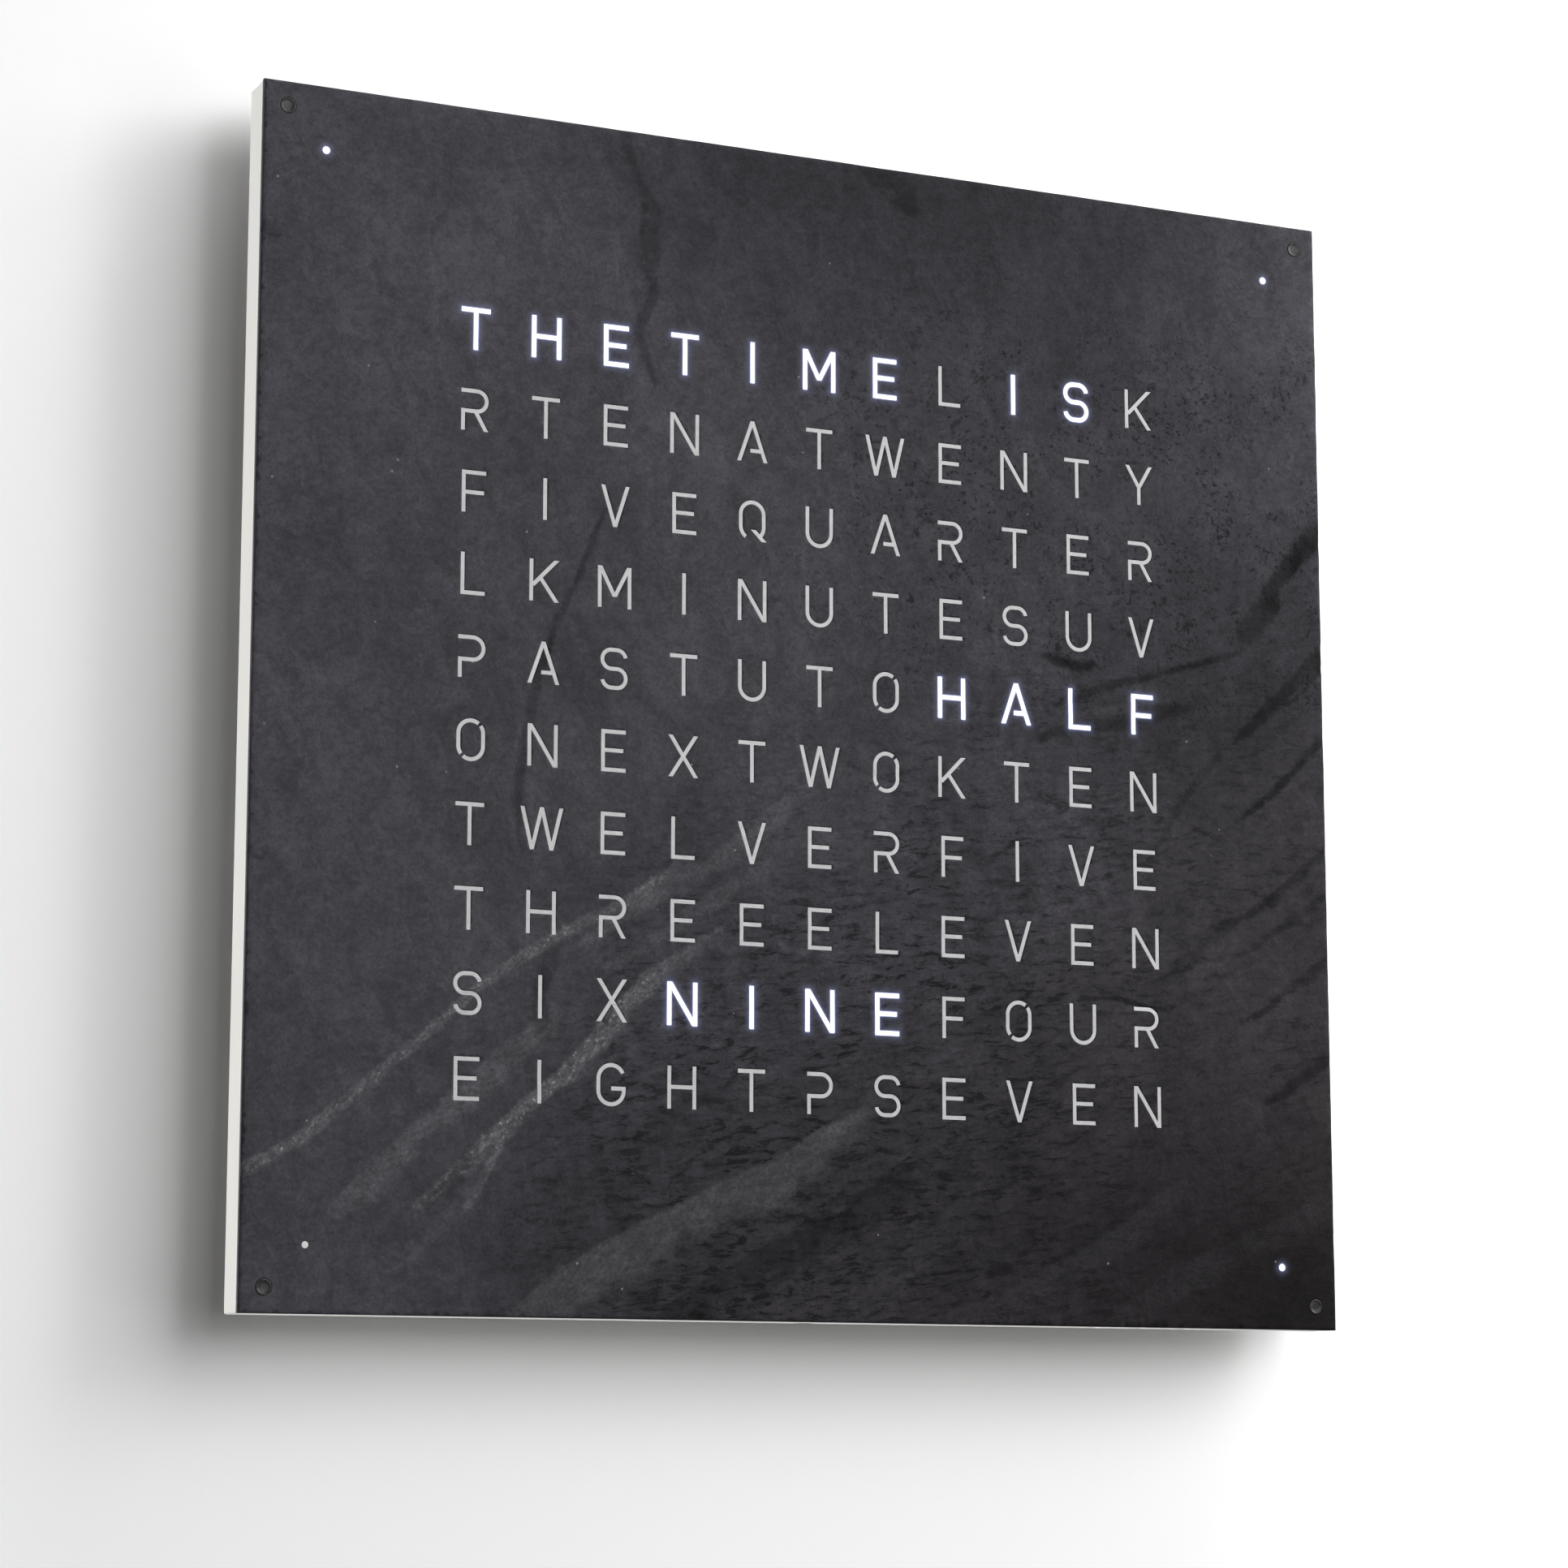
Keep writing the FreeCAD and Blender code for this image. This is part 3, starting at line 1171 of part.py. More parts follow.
def make_radio():
    """Ferrite aerial in two clips, with its receiver board and flat cables."""
    rod_ends = ("-rod_length / 2", "rod_length / 2")
    node(post("ferrite_rod", "rod_diameter / 2", "rod_place", "rod_axis", rod_ends), "ferrite_rod")
    coil_ends = ("-coil_length / 2", "coil_length / 2")
    node(cut("antenna_coil",
             post("coil_outside", "rod_diameter / 2 + coil_wall", "rod_place", "rod_axis", coil_ends),
             post("coil_inside", "rod_diameter / 2", "rod_place", "rod_axis", coil_ends)), "antenna_coil")
    clips = []
    for side in (-1, 1):
        block = box(f"clip_block_{side + 1}", centred("rod_place", "clip_width"),
                    ("rod_axis - rod_diameter / 2 - coil_wall", "panel_front"),
                    centred(f"{side} * (rod_length / 2 - clip_inset)", "clip_thickness"))
        hole = post(f"clip_hole_{side + 1}", "rod_diameter / 2", "rod_place", "rod_axis", rod_ends)
        clips.append(cut(f"clip_{side + 1}", block, hole))
    node(group("antenna_clips", clips), "antenna_clips")
    node(box("radio_board", centred("rod_place", "radio_width"), BOARD_DEPTH, ("radio_low", "-radio_drop")),
         "radio_board")
    node(box("radio_chip", centred("rod_place", "radio_chip_side"), on_board("radio_chip_height"),
             centred("(radio_low - radio_drop) / 2", "radio_chip_side")), "radio_chip")
    coil_link = box("coil_flex", centred("rod_place", "flex_width"), FLEX_DEPTH,
                    ("-radio_drop", "-rod_length / 2 + clip_inset - clip_thickness / 2"))
    board_link = box("receiver_flex", ("control_end - flex_width", "control_end"), FLEX_DEPTH,
                     ("control_high", "radio_low"))
    node(group("radio_flexes", [coil_link, board_link]), "radio_flexes")


make_slate_and_fills()
make_carrier()
make_windows()
make_studs()
make_frame()
make_magnets_and_bushes()
make_panel()
make_panel_screws()
make_hangers()
make_diffuser()
make_baffle()
make_led_strips()
make_minute_lights()
make_flat_cables()
make_inlet()
make_control_board()
make_buttons()
make_radio()
doc.recompute()


def check_document():
    for thing in doc.Objects:
        if "Invalid" in thing.State or "Error" in thing.State:
            raise RuntimeError(f"{thing.Name} failed: {thing.State}")
    labels = [thing.Label for thing in nodes]
    if len(set(labels)) != len(labels):
        raise RuntimeError("two sub-parts share a name")
    for thing in nodes:
        shape = thing.Shape
        if shape.isNull() or not shape.isValid() or not shape.Solids:
            raise RuntimeError(f"{thing.Label} has no sound solid")


check_document()
os.makedirs("parts", exist_ok=True)
for thing in nodes:
    thing.Shape.exportStep(f"parts/{thing.Label}.step")
print(len(nodes), "sub-parts,", sum(len(thing.Shape.Solids) for thing in nodes), "solids")
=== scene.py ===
"""Wall clock that spells the time: the finish of every surface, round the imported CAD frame."""
import json

import bpy
import numpy as np
from mathutils import Matrix, Vector
from mathutils.geometry import delaunay_2d_cdt, tessellate_polygon

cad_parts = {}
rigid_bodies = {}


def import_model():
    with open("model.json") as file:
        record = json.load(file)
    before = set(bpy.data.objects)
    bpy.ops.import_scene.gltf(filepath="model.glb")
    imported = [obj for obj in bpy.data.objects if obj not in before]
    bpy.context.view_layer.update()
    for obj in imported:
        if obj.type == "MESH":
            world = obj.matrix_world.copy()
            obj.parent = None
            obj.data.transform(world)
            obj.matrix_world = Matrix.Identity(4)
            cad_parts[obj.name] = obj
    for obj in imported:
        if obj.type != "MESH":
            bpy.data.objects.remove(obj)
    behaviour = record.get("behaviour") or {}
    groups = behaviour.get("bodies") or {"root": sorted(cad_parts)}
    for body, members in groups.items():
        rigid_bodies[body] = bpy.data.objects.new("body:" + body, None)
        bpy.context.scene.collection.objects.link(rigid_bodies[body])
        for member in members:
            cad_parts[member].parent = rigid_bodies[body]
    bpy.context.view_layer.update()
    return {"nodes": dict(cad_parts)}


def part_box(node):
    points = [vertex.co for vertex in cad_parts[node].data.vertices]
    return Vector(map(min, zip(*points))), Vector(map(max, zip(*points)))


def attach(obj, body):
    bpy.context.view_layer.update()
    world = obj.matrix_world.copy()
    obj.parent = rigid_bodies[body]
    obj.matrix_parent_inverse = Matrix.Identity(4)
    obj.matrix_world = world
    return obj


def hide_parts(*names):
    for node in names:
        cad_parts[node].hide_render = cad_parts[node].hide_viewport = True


MM = 0.001
SEED = 20

for leftover in list(bpy.data.objects):
    bpy.data.objects.remove(leftover)

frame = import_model()
nodes = frame["nodes"]
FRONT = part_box("slate_face")[0].y
SLATE_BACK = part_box("slate_face")[1].y
# Half the slate's width, in millimetres. The two places above are in metres.
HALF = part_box("slate_face")[1].x / MM


# ---- small tools for node trees ----

class Finish:
    """A material's node tree. Each call adds a node and returns the socket that it puts out."""

    def __init__(self, name, color=(0.8, 0.8, 0.8), roughness=0.5, **values):
        self.material = bpy.data.materials.new(name)
        self.material.use_nodes = True
        self.tree = self.material.node_tree
        self.shader = self.tree.nodes["Principled BSDF"]
        self.set("Base Color", color)
        self.set("Roughness", roughness)
        for socket, value in values.items():
            self.set(socket.replace("_", " "), value)

    def feed(self, socket, value):
        """Links a socket, or writes a plain value, to an input."""
        if isinstance(value, bpy.types.NodeSocket):
            self.tree.links.new(value, socket)
        elif socket.type == "RGBA" and len(value) == 3:
            socket.default_value = (*value, 1.0)
        else:
            socket.default_value = value

    def set(self, socket, value):
        self.feed(self.shader.inputs[socket], value)

    def add(self, kind, inputs=None, output=0, **settings):
        made = self.tree.nodes.new("ShaderNode" + kind)
        for key, value in settings.items():
            setattr(made, key, value)
        for key, value in (inputs or {}).items():
            self.feed(made.inputs[key], value)
        return made.outputs[output]

    def place(self, stretch=(1.0, 1.0, 1.0), lean=0.0, seed=0.0, point=None):
        """The point on the object in millimetres, leaning up to the right, drawn out by stretch."""
        inputs = {"Vector": point or self.add("TexCoord", output="Object"),
                  "Location": (seed * 0.37, seed * 0.53, seed * 0.71),
                  "Rotation": (0.0, -lean, 0.0), "Scale": tuple(s * MM for s in stretch)}
        return self.add("Mapping", inputs, vector_type="TEXTURE")

    def attribute(self, name):
        return self.add("Attribute", output="Fac", attribute_name=name)

    def noise(self, size, detail=2.0, rough=0.55, vector=None, warp=0.0, seed=0.0):
        """Noise from 0 to 1 whose blotches are about size millimetres across."""
        inputs = {"Vector": vector or self.place(seed=seed), "Scale": 1.0 / size, "Detail": detail,
                  "Roughness": rough, "Distortion": warp}
        return self.add("TexNoise", inputs)

    def cells(self, size, vector=None, feature="F1", jitter=1.0):
        """Distances in a pattern of cells about size millimetres across."""
        inputs = {"Vector": vector or self.place(), "Scale": 1.0 / size, "Randomness": jitter}
        return self.add("TexVoronoi", inputs, output="Distance", feature=feature)

    def math(self, operation, a, b=0.0, c=0.0, clamp=False):
        return self.add("Math", {0: a, 1: b, 2: c}, operation=operation, use_clamp=clamp)

    def times(self, product, *factors):
        """The product of several numbers."""
        for factor in factors:
            product = self.math("MULTIPLY", product, factor)
        return product

    def remap(self, value, low, high, to_low=0.0, to_high=1.0, smooth=True):
        """value moved from low..high to to_low..to_high, held at the ends."""
        inputs = {"Value": value, "From Min": low, "From Max": high, "To Min": to_low, "To Max": to_high}
        return self.add("MapRange", inputs, interpolation_type="SMOOTHSTEP" if smooth else "LINEAR")

    def mix(self, a, b, share):
        """Colour a with a share of colour b over it."""
        made = self.tree.nodes.new("ShaderNodeMix")
        made.data_type = "RGBA"
        self.feed(made.inputs["Factor"], share)
        self.feed(made.inputs["A"], a)
        self.feed(made.inputs["B"], b)
        return made.outputs["Result"]

    def scaled(self, color, factor):
        """A colour or a direction, each of its three values times a number."""
        return self.add("VectorMath", {0: color, "Scale": factor}, operation="SCALE")

    def bump(self, height, distance, strength=1.0, normal=None):
        """A normal from a height of 0 to 1, distance millimetres deep."""
        inputs = {"Height": height, "Distance": distance * MM, "Strength": strength}
        if normal is not None:
            inputs["Normal"] = normal
        return self.add("Bump", inputs)

    def finished(self, color, roughness, normal):
        """Sets what every finish varies over its surface, and gives the material."""
        self.set("Base Color", color)
        self.set("Roughness", roughness)
        self.set("Normal", normal)
        return self.material


def new_piece(name, vertices, faces, body, smooth=False):
    """A mesh piece that rides on a body."""
    mesh = bpy.data.meshes.new(name)
    mesh.from_pydata(vertices, [], faces)
    mesh.update()
    if smooth:
        mesh.shade_smooth()
    piece = bpy.data.objects.new(name, mesh)
    bpy.context.scene.collection.objects.link(piece)
    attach(piece, body)
    return piece


def dress(material, *names):
    """Gives CAD nodes a finish."""
    for name in names:
        for slot in nodes[name].material_slots:
            slot.material = material


# ---- the slate's shape: folds, veins, cracks and shades, in millimetres from the middle ----

# Each path: strength, fade on its left, fade on its right, and points (x, z, scale of both fades).
PALE_FOLDS = (
    (1.00, 0.9, 4.6, ((-225, -174, 1), (-207, -165, 1), (-189, -150, 1), (-171, -135, 1), (-153, -120, 1),
                      (-138, -106, 0.9), (-126, -97, 0.9), (-111, -88, 1), (-96, -79, 1.1), (-81, -72, 1.3),
                      (-66, -61, 1.5), (-51, -49, 1.7), (-33, -36, 1.8))),
    (0.60, 1.0, 7.0, ((-106, -94, 0.7), (-84, -78, 1), (-63, -63, 1.2), (-45, -54, 1.3), (-27, -39, 1.4),
                      (-9, -25, 1.4), (12, -12, 1.2))),
    (0.45, 1.2, 6.0, ((-94, -101, 0.8), (-69, -84, 1), (-45, -67, 1.2), (-26, -56, 1.3), (-8, -44, 1.2))),
    (1.05, 1.0, 7.0, ((-172, -196, 0.8), (-153, -180, 1), (-135, -162, 1), (-120, -148, 1),
                      (-105, -136, 1.1), (-93, -123, 1.3), (-81, -109, 1.3), (-69, -97, 1.1),
                      (-54, -87, 1.1), (-39, -78, 1.2), (-21, -70, 1.3))),
    (0.90, 1.2, 2.4, ((-144, -192, 0.8), (-136, -178, 1), (-129, -165, 1), (-121, -152, 0.8))),
    (0.80, 3.0, 11.0, ((-198, -196, 1), (-171, -168, 1), (-147, -147, 1), (-126, -129, 1), (-108, -114, 1),
                       (-93, -100, 0.8))),
    (0.30, 3.0, 9.0, ((-183, -214, 1), (-160, -200, 1), (-142, -184, 1), (-132, -170, 0.7))),
    (0.62, 1.2, 21.0, ((-124, -225, 1), (-104, -208, 1), (-80, -195, 1), (-54, -182, 1), (-32, -172, 1),
                       (-15, -165, 0.9), (0, -154, 0.8), (15, -147, 0.7), (28, -139, 0.6), (44, -130, 0.5))),
    (0.15, 4.0, 12.0, ((10, -222, 1), (36, -201, 1), (63, -177, 1), (78, -162, 0.8))),
    (0.10, 4.0, 12.0, ((124, -225, 1), (153, -204, 1), (189, -189, 1), (225, -174, 1))),
    (0.11, 4.0, 10.0, ((60, -225, 1), (96, -206, 1), (132, -186, 1), (168, -160, 1))),
    (0.20, 1.0, 8.0, ((88, 2, 0.6), (112, 12, 1), (140, 20, 1), (168, 25, 0.8))),
)
VEINS_AND_CRACK_SHADE = (
    (1.00, 6.0, 9.0, ((225, 97, 1), (214, 86, 1), (204, 74, 0.9), (199, 60, 1.1), (189, 48, 1),
                      (176, 41, 0.5))),
    (0.95, 1.8, 3.6, ((196, 47, 1), (175, 40, 1), (160, 36, 0.9), (145, 31, 1), (118, 22, 1.2), (98, 14, 1),
                      (82, 7, 0.6))),
    (0.70, 5.0, 6.0, ((172, 22, 0.4), (157, 19, 0.8), (140, 14, 1.1), (122, 9, 1), (100, 4, 0.7),
                      (78, -4, 0.5))),
    (0.85, 3.5, 4.5, ((225, 45, 1.5), (209, 31, 1.1), (197, 20, 1), (186, 10, 0.8), (176, 2, 0.6))),
    (0.50, 2.5, 4.5, ((182, 8, 0.6), (170, -6, 1), (160, -18, 1), (151, -33, 0.7), (138, -50, 0.8))),
    (0.95, 1.8, 3.0, ((225, 11, 1.3), (216, 3, 1.2), (203, -11, 1.3), (188, -22, 1), (178, -31, 0.5))),
    (0.85, 5.0, 1.8, ((225, -33, 1.1), (207, -48, 1), (188, -62, 1), (170, -68, 0.8), (160, -69, 0.5))),
    (0.50, 4.0, 2.0, ((225, -52, 1), (207, -63, 1), (188, -76, 0.7), (172, -84, 0.4))),
    (0.75, 4.0, 3.0, ((225, -78, 1.3), (210, -88, 1), (196, -99, 0.6), (176, -110, 0.4))),
    (0.60, 3.0, 6.0, ((225, -118, 1), (204, -132, 0.9), (189, -141, 0.6))),
    (0.35, 3.0, 7.0, ((190, -60, 0.5), (160, -84, 1), (128, -106, 0.8))),
    # The next two rows are painted shade along a crack down the left half: sharp on its left, soft on its
    # right.
    (0.42, 1.9, 7.0, ((-80, 225, 1), (-76, 207, 1), (-69, 195, 1), (-72, 178, 1), (-68, 163, 1),
                      (-74, 147, 0.9), (-68, 126, 0.6), (-76, 110, 0.5))),
    (0.62, 1.9, 3.4, ((-84, 90, 0.6), (-90, 72, 0.8), (-100, 46, 1), (-108, 30, 1), (-114, 9, 1.2),
                      (-120, -14, 1.3), (-123, -39, 1.4), (-121, -63, 1.2), (-124, -78, 0.8))),
    (0.55, 13.0, 2.0, ((-74, 200, 0.6), (-75, 188, 1), (-71, 176, 0.9), (-66, 168, 0.5))),
    (0.55, 14.0, 4.0, ((18, 225, 1), (33, 213, 1), (48, 205, 0.6))),
    (0.70, 2.5, 22.0, ((-64, -222, 1), (-36, -206, 1), (-6, -190, 0.9), (26, -172, 0.8), (54, -154, 0.5))),
    (0.22, 6.0, 16.0, ((-118, -185, 0.6), (-100, -172, 1), (-76, -156, 1), (-50, -146, 1),
                       (-20, -136, 0.6))),
    (0.50, 3.0, 9.0, ((-160, -186, 0.6), (-146, -176, 1), (-138, -160, 0.6))),
    (0.60, 5.0, 7.0, ((-110, -84, 0.5), (-109, -94, 1), (-113, -108, 1), (-112, -122, 1),
                      (-108, -134, 0.5))),
    (0.85, 3.5, 4.5, ((92, 37, 0.5), (104, 34, 1), (114, 33, 1), (126, 37, 0.5))),
)
# Cracks: painted dark, as the shade in them.
CRACKS = (
    (0.90, 1.0, 2.2, ((103, -100, 0.6), (118, -98, 1), (129, -97, 1), (147, -101, 1.1), (170, -97, 0.6))),
    (0.80, 1.0, 1.8, ((184, 15, 0.6), (200, 22, 1), (212, 27, 1), (225, 40, 1))),
    (0.60, 0.9, 1.4, ((8, -12, 0.7), (24, -18, 1), (42, -14, 0.6))),
    (0.50, 0.8, 1.2, ((-225, 168, 1), (-219, 166, 1), (-214, 170, 0.5))),
    (0.50, 0.8, 1.2, ((-225, -62, 1), (-220, -64, 1), (-215, -60, 0.5))),
    (0.50, 0.9, 1.4, ((100, 36, 0.6), (112, 33, 1), (124, 37, 0.6))),
    (0.70, 0.9, 1.8, ((-68, -182, 0.5), (-58, -172, 1), (-48, -163, 1), (-38, -157, 1), (-24, -151, 0.5))),
    (0.55, 0.8, 1.5, ((-108, -187, 0.5), (-94, -184, 1), (-80, -183, 1), (-64, -179, 0.5))),
    (0.60, 0.8, 1.4, ((-30, -190, 0.5), (-10, -186, 1), (12, -190, 1), (34, -184, 0.6))),
    (0.60, 0.8, 1.6, ((60, -178, 0.5), (82, -172, 1), (100, -176, 1), (122, -170, 0.5))),
    (0.55, 0.8, 1.4, ((-128, -186, 0.5), (-112, -192, 1), (-96, -188, 0.6))),
)
# Broad shades: middle (x, z), reach (x, z), and how much darker (below 0) or lighter.
SHADES = (
    (70, 215, 120, 70, -0.42), (-190, 190, 130, 120, 0.10), (95, 100, 90, 60, -0.12),
    (-70, 95, 80, 70, 0.04), (60, -90, 120, 50, -0.07), (30, -190, 190, 60, -0.39),
    (-95, -208, 60, 28, -0.10), (-158, -30, 26, 120, -0.06), (235, -235, 120, 90, -0.62),
    (-30, 215, 90, 40, -0.20), (195, -40, 60, 70, -0.14), (-190, -110, 60, 60, 0.06),
    (-100, 60, 40, 60, -0.04), (50, 40, 70, 40, -0.06), (230, 190, 45, 70, 0.24), (215, 85, 45, 45, -0.10),
    (175, 50, 80, 36, -0.22), (125, 12, 62, 18, -0.28), (70, -105, 150, 90, -0.10),
    (205, -20, 60, 80, -0.10), (200, -120, 60, 60, 0.16), (-190, -215, 60, 40, 0.10),
)


def lattice_noise(x, z, size, seed):
    """Smooth noise from -1 to 1 at points x, z, with blotches about size across."""
    table = np.random.RandomState(seed).uniform(-1.0, 1.0, (256, 256))
    u, v = x / size + 1000.0, z / size + 1000.0
    column, row = np.floor(u).astype(int), np.floor(v).astype(int)
    a, b = u - column, v - row
    a, b = a * a * (3 - 2 * a), b * b * (3 - 2 * b)
    column, row = column % 256, row % 256
    right, upper = (column + 1) % 256, (row + 1) % 256
    low = table[row, column] * (1 - a) + table[row, right] * a
    high = table[upper, column] * (1 - a) + table[upper, right] * a
    return low * (1 - b) + high * b


def layered_noise(x, z, size, layers, seed, fall=0.5):
    """lattice_noise at several sizes, each half the last."""
    total, weight, share = 0.0, 0.0, 1.0
    for layer in range(layers):
        total = total + share * lattice_noise(x, z, size / 2 ** layer, seed + layer)
        weight += share
        share *= fall
    return total / weight


def run_distance(x, z, x0, z0, x1, z1):
    """Distance from points to a straight run, and how far along it the nearest place is, 0 to 1."""
    dx, dz = x1 - x0, z1 - z0
    along = np.clip(((x - x0) * dx + (z - z0) * dz) / (dx * dx + dz * dz), 0.0, 1.0)
    return np.hypot(x - x0 - along * dx, z - z0 - along * dz), along


def near_path(x, z, points):
    """For each point: its distance to a path, positive on the left; the path's scale; the way along."""
    best, side = np.full(x.shape, 1e9), np.ones(x.shape)
    scale, way = np.ones(x.shape), np.zeros(x.shape)
    run = 0.0
    for (x0, z0, s0), (x1, z1, s1) in zip(points, points[1:]):
        distance, along = run_distance(x, z, x0, z0, x1, z1)
        closer = distance < best
        best = np.where(closer, distance, best)
        leftward = (x1 - x0) * (z - z0) - (z1 - z0) * (x - x0)
        side = np.where(closer, np.sign(leftward + 1e-12), side)
        scale = np.where(closer, s0 + along * (s1 - s0), scale)
        length = np.hypot(x1 - x0, z1 - z0)
        way = np.where(closer, run + along * length, way)
        run += length
    return best * side, scale, way / run


def ease(t):
    t = np.clip(t, 0.0, 1.0)
    return t * t * (3 - 2 * t)


# A path whose end lies farther out than this runs off the sheet, so it doesn't fade there.
EDGE = 220
# A path keeps its full strength over the inner part of its width.
PLATEAU = 1.6
# Narrower fades would fall between the sheet's vertices.
NARROWEST = 1.9
# Shares of its length over which a path that starts or ends on the sheet comes and goes.
FADE_IN, FADE_OUT = 0.15, 0.30
# How far the paths wander off their points, in millimetres.
SWAY = 2.0


def paths_field(x, z, paths, seed):
    """The strongest of the paths at each point: its strength, and how near its middle, from 0 to 1."""
    field, inner = np.zeros(x.shape), np.zeros(x.shape)
    fray = layered_noise(x, z, 8.0, 4, seed)
    sway = SWAY * layered_noise(x, z, 40.0, 2, seed + 5)
    patchy = 0.80 + 0.40 * layered_noise(x, z, 18.0, 4, seed + 7)
    for strength, left, right, points in paths:
        away, scale, way = near_path(x + sway, z + sway, points)
        away = away + fray * np.where(away > 0, 0.5 * left, 0.35 * right) * scale
        fade = np.where(away > 0, left, right) * scale
        near = np.clip(1.0 - np.abs(away) / np.maximum(fade, NARROWEST), 0.0, 1.0)
        starts_inside = max(abs(points[0][0]), abs(points[0][1])) < EDGE
        ends_inside = max(abs(points[-1][0]), abs(points[-1][1])) < EDGE
        if starts_inside:
            near = near * ease(way / FADE_IN)
        if ends_inside:
            near = near * ease((1 - way) / FADE_OUT)
        field = np.maximum(field, strength * ease(PLATEAU * near) * patchy)
        inner = np.maximum(inner, near)
    return field, inner


def shade_at(x, z):
    """How light the stone is in broad patches, about 1."""
    shade = np.ones(x.shape)
    for middle_x, middle_z, reach_x, reach_z, change in SHADES:
        shade = shade + change * np.exp(-((x - middle_x) / reach_x) ** 2 - ((z - middle_z) / reach_z) ** 2)
    return shade


# Millimetres behind the front plane: the nearest and farthest of the face, and of its chipped rim.
RELIEF_NEAR, RELIEF_FAR, RIM_FAR = 0.03, 0.85, 1.0


def slate_depth(x, z, pale, dark, crack):
    """How far the split face lies behind the front plane, in millimetres."""
    waves = 0.16 * layered_noise(x, z, 60.0, 4, SEED + 1)
    flakes = 0.12 * layered_noise(x * 0.8 + z * 0.6, z * 0.8 - x * 0.6, 14.0, 4, SEED + 9, 0.6)
    along = x * 0.82 + z * 0.57
    across = z * 0.82 - x * 0.57
    grain = 0.05 * layered_noise(along * 0.25, across, 4.0, 3, SEED + 17, 0.6)
    depth = 0.38 + waves + flakes + grain - 0.30 * pale + 0.22 * dark + 0.34 * crack
    return np.clip(depth, RELIEF_NEAR, RELIEF_FAR)


# ---- the outlines that pass through the slate, read off its own mesh ----

def sides(loop):
    """The runs of a closed outline, from each corner to the next."""
    return zip(loop, loop[1:] + loop[:1])


def front_loops(node, level):
    """The closed outlines of a node's faces in the plane y = level, as lists of (x, z) in millimetres."""
    mesh = nodes[node].data
    # Corners at the same place count as one.
    keys, points, index = {}, [], []
    for vertex in mesh.vertices:
        key = tuple(round(c * 1e6) for c in vertex.co)
        if key not in keys:
            keys[key] = len(points)
            points.append(vertex.co.copy())
        index.append(keys[key])
    # A run that two faces share drops out, which leaves the outlines.
    used = {}
    for face in mesh.polygons:
        corners = [index[v] for v in face.vertices]
        if all(abs(points[c].y - level) < 2e-6 for c in corners):
            for a, b in sides(corners):
                if (b, a) in used:
                    del used[(b, a)]
                else:
                    used[(a, b)] = True
    follow = dict(used.keys())
    loops = []
    while follow:
        start, at = follow.popitem()
        loop = [start]
        while at != start:
            loop.append(at)
            at = follow.pop(at)
        loops.append([(points[i].x / MM, points[i].z / MM) for i in loop])
    return loops


def signed_area(loop):
    return 0.5 * sum(a[0] * b[1] - b[0] * a[1] for a, b in sides(loop))


def inside_loop(x, z, loop):
    """Whether a point, or each of many, lies inside an outline: every run beside it flips the answer."""
    hit = False
    for (x0, z0), (x1, z1) in sides(loop):
        if z0 != z1:
            crosses = (z0 > z) != (z1 > z)
            hit = hit ^ (crosses & (x < x0 + (z - z0) * (x1 - x0) / (z1 - z0)))
    return hit


def near_box(x, z, loop, margin=0.0):
    """Which points lie in the upright box round an outline, or within a margin of it."""
    low, high = np.min(loop, axis=0) - margin, np.max(loop, axis=0) + margin
    return np.nonzero((x > low[0]) & (x < high[0]) & (z > low[1]) & (z < high[1]))[0]


def within_loops(x, z, loops):
    """Which points lie inside any of the outlines."""
    inside = np.zeros(x.shape, dtype=bool)
    for loop in loops:
        near = near_box(x, z, loop)
        inside[near] |= inside_loop(x[near], z[near], loop)
    return inside


# Distances to outlines are worked out this far round each, and are endless beyond.
MEASURED = 8.0


def loop_distance(x, z, loops):
    """Distance from each point to the nearest outline."""
    best = np.full(x.shape, 1e9)
    for loop in loops:
        near = near_box(x, z, loop, MEASURED)
        for (x0, z0), (x1, z1) in sides(loop):
            distance, _ = run_distance(x[near], z[near], x0, z0, x1, z1)
            best[near] = np.minimum(best[near], distance)
    return best


# The slate's outer edge has the largest area, and the other outlines are the openings through it.
outer_edge, *openings = sorted(front_loops("slate_face", FRONT), key=lambda loop: -abs(signed_area(loop)))
# The plane that the front of all letters and dots lies in.
FILL_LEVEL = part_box("lit_letter_fills")[0].y
lit_loops = front_loops("lit_letter_fills", FILL_LEVEL) + front_loops("lit_minute_fills", FILL_LEVEL)


def relief_at(x, z):
    """The slate at points: its depth in millimetres, and the strength and middle of each kind of path."""
    levels = {}
    for step, (kind, paths) in enumerate((("pale", PALE_FOLDS), ("dark", VEINS_AND_CRACK_SHADE), ("crack", CRACKS))):
        levels[kind], levels[kind + "_middle"] = paths_field(x, z, paths, SEED + 31 + 10 * step)
    return slate_depth(x, z, levels["pale"], levels["dark"], levels["crack"]), levels


def resample(loop, step):
    """A closed outline with no run longer than step."""
    result = []
    for (x0, z0), (x1, z1) in sides(loop):
        parts = max(1, int(np.ceil(np.hypot(x1 - x0, z1 - z0) / step)))
        result += [(x0 + (x1 - x0) * i / parts, z0 + (z1 - z0) * i / parts) for i in range(parts)]
    return result


def offset_points(loop, distance):
    """Points a little outside a closed outline, one for each of its corners."""
    turn = 1.0 if signed_area(loop) > 0 else -1.0
    result = []
    count = len(loop)
    for i in range(count):
        (ax, az), (bx, bz), (cx, cz) = loop[i - 1], loop[i], loop[(i + 1) % count]
        nx, nz = (cz - az) * turn, -(cx - ax) * turn
        length = max(np.hypot(nx, nz), 1e-9)
        result.append((bx + nx / length * distance, bz + nz / length * distance))
    return result


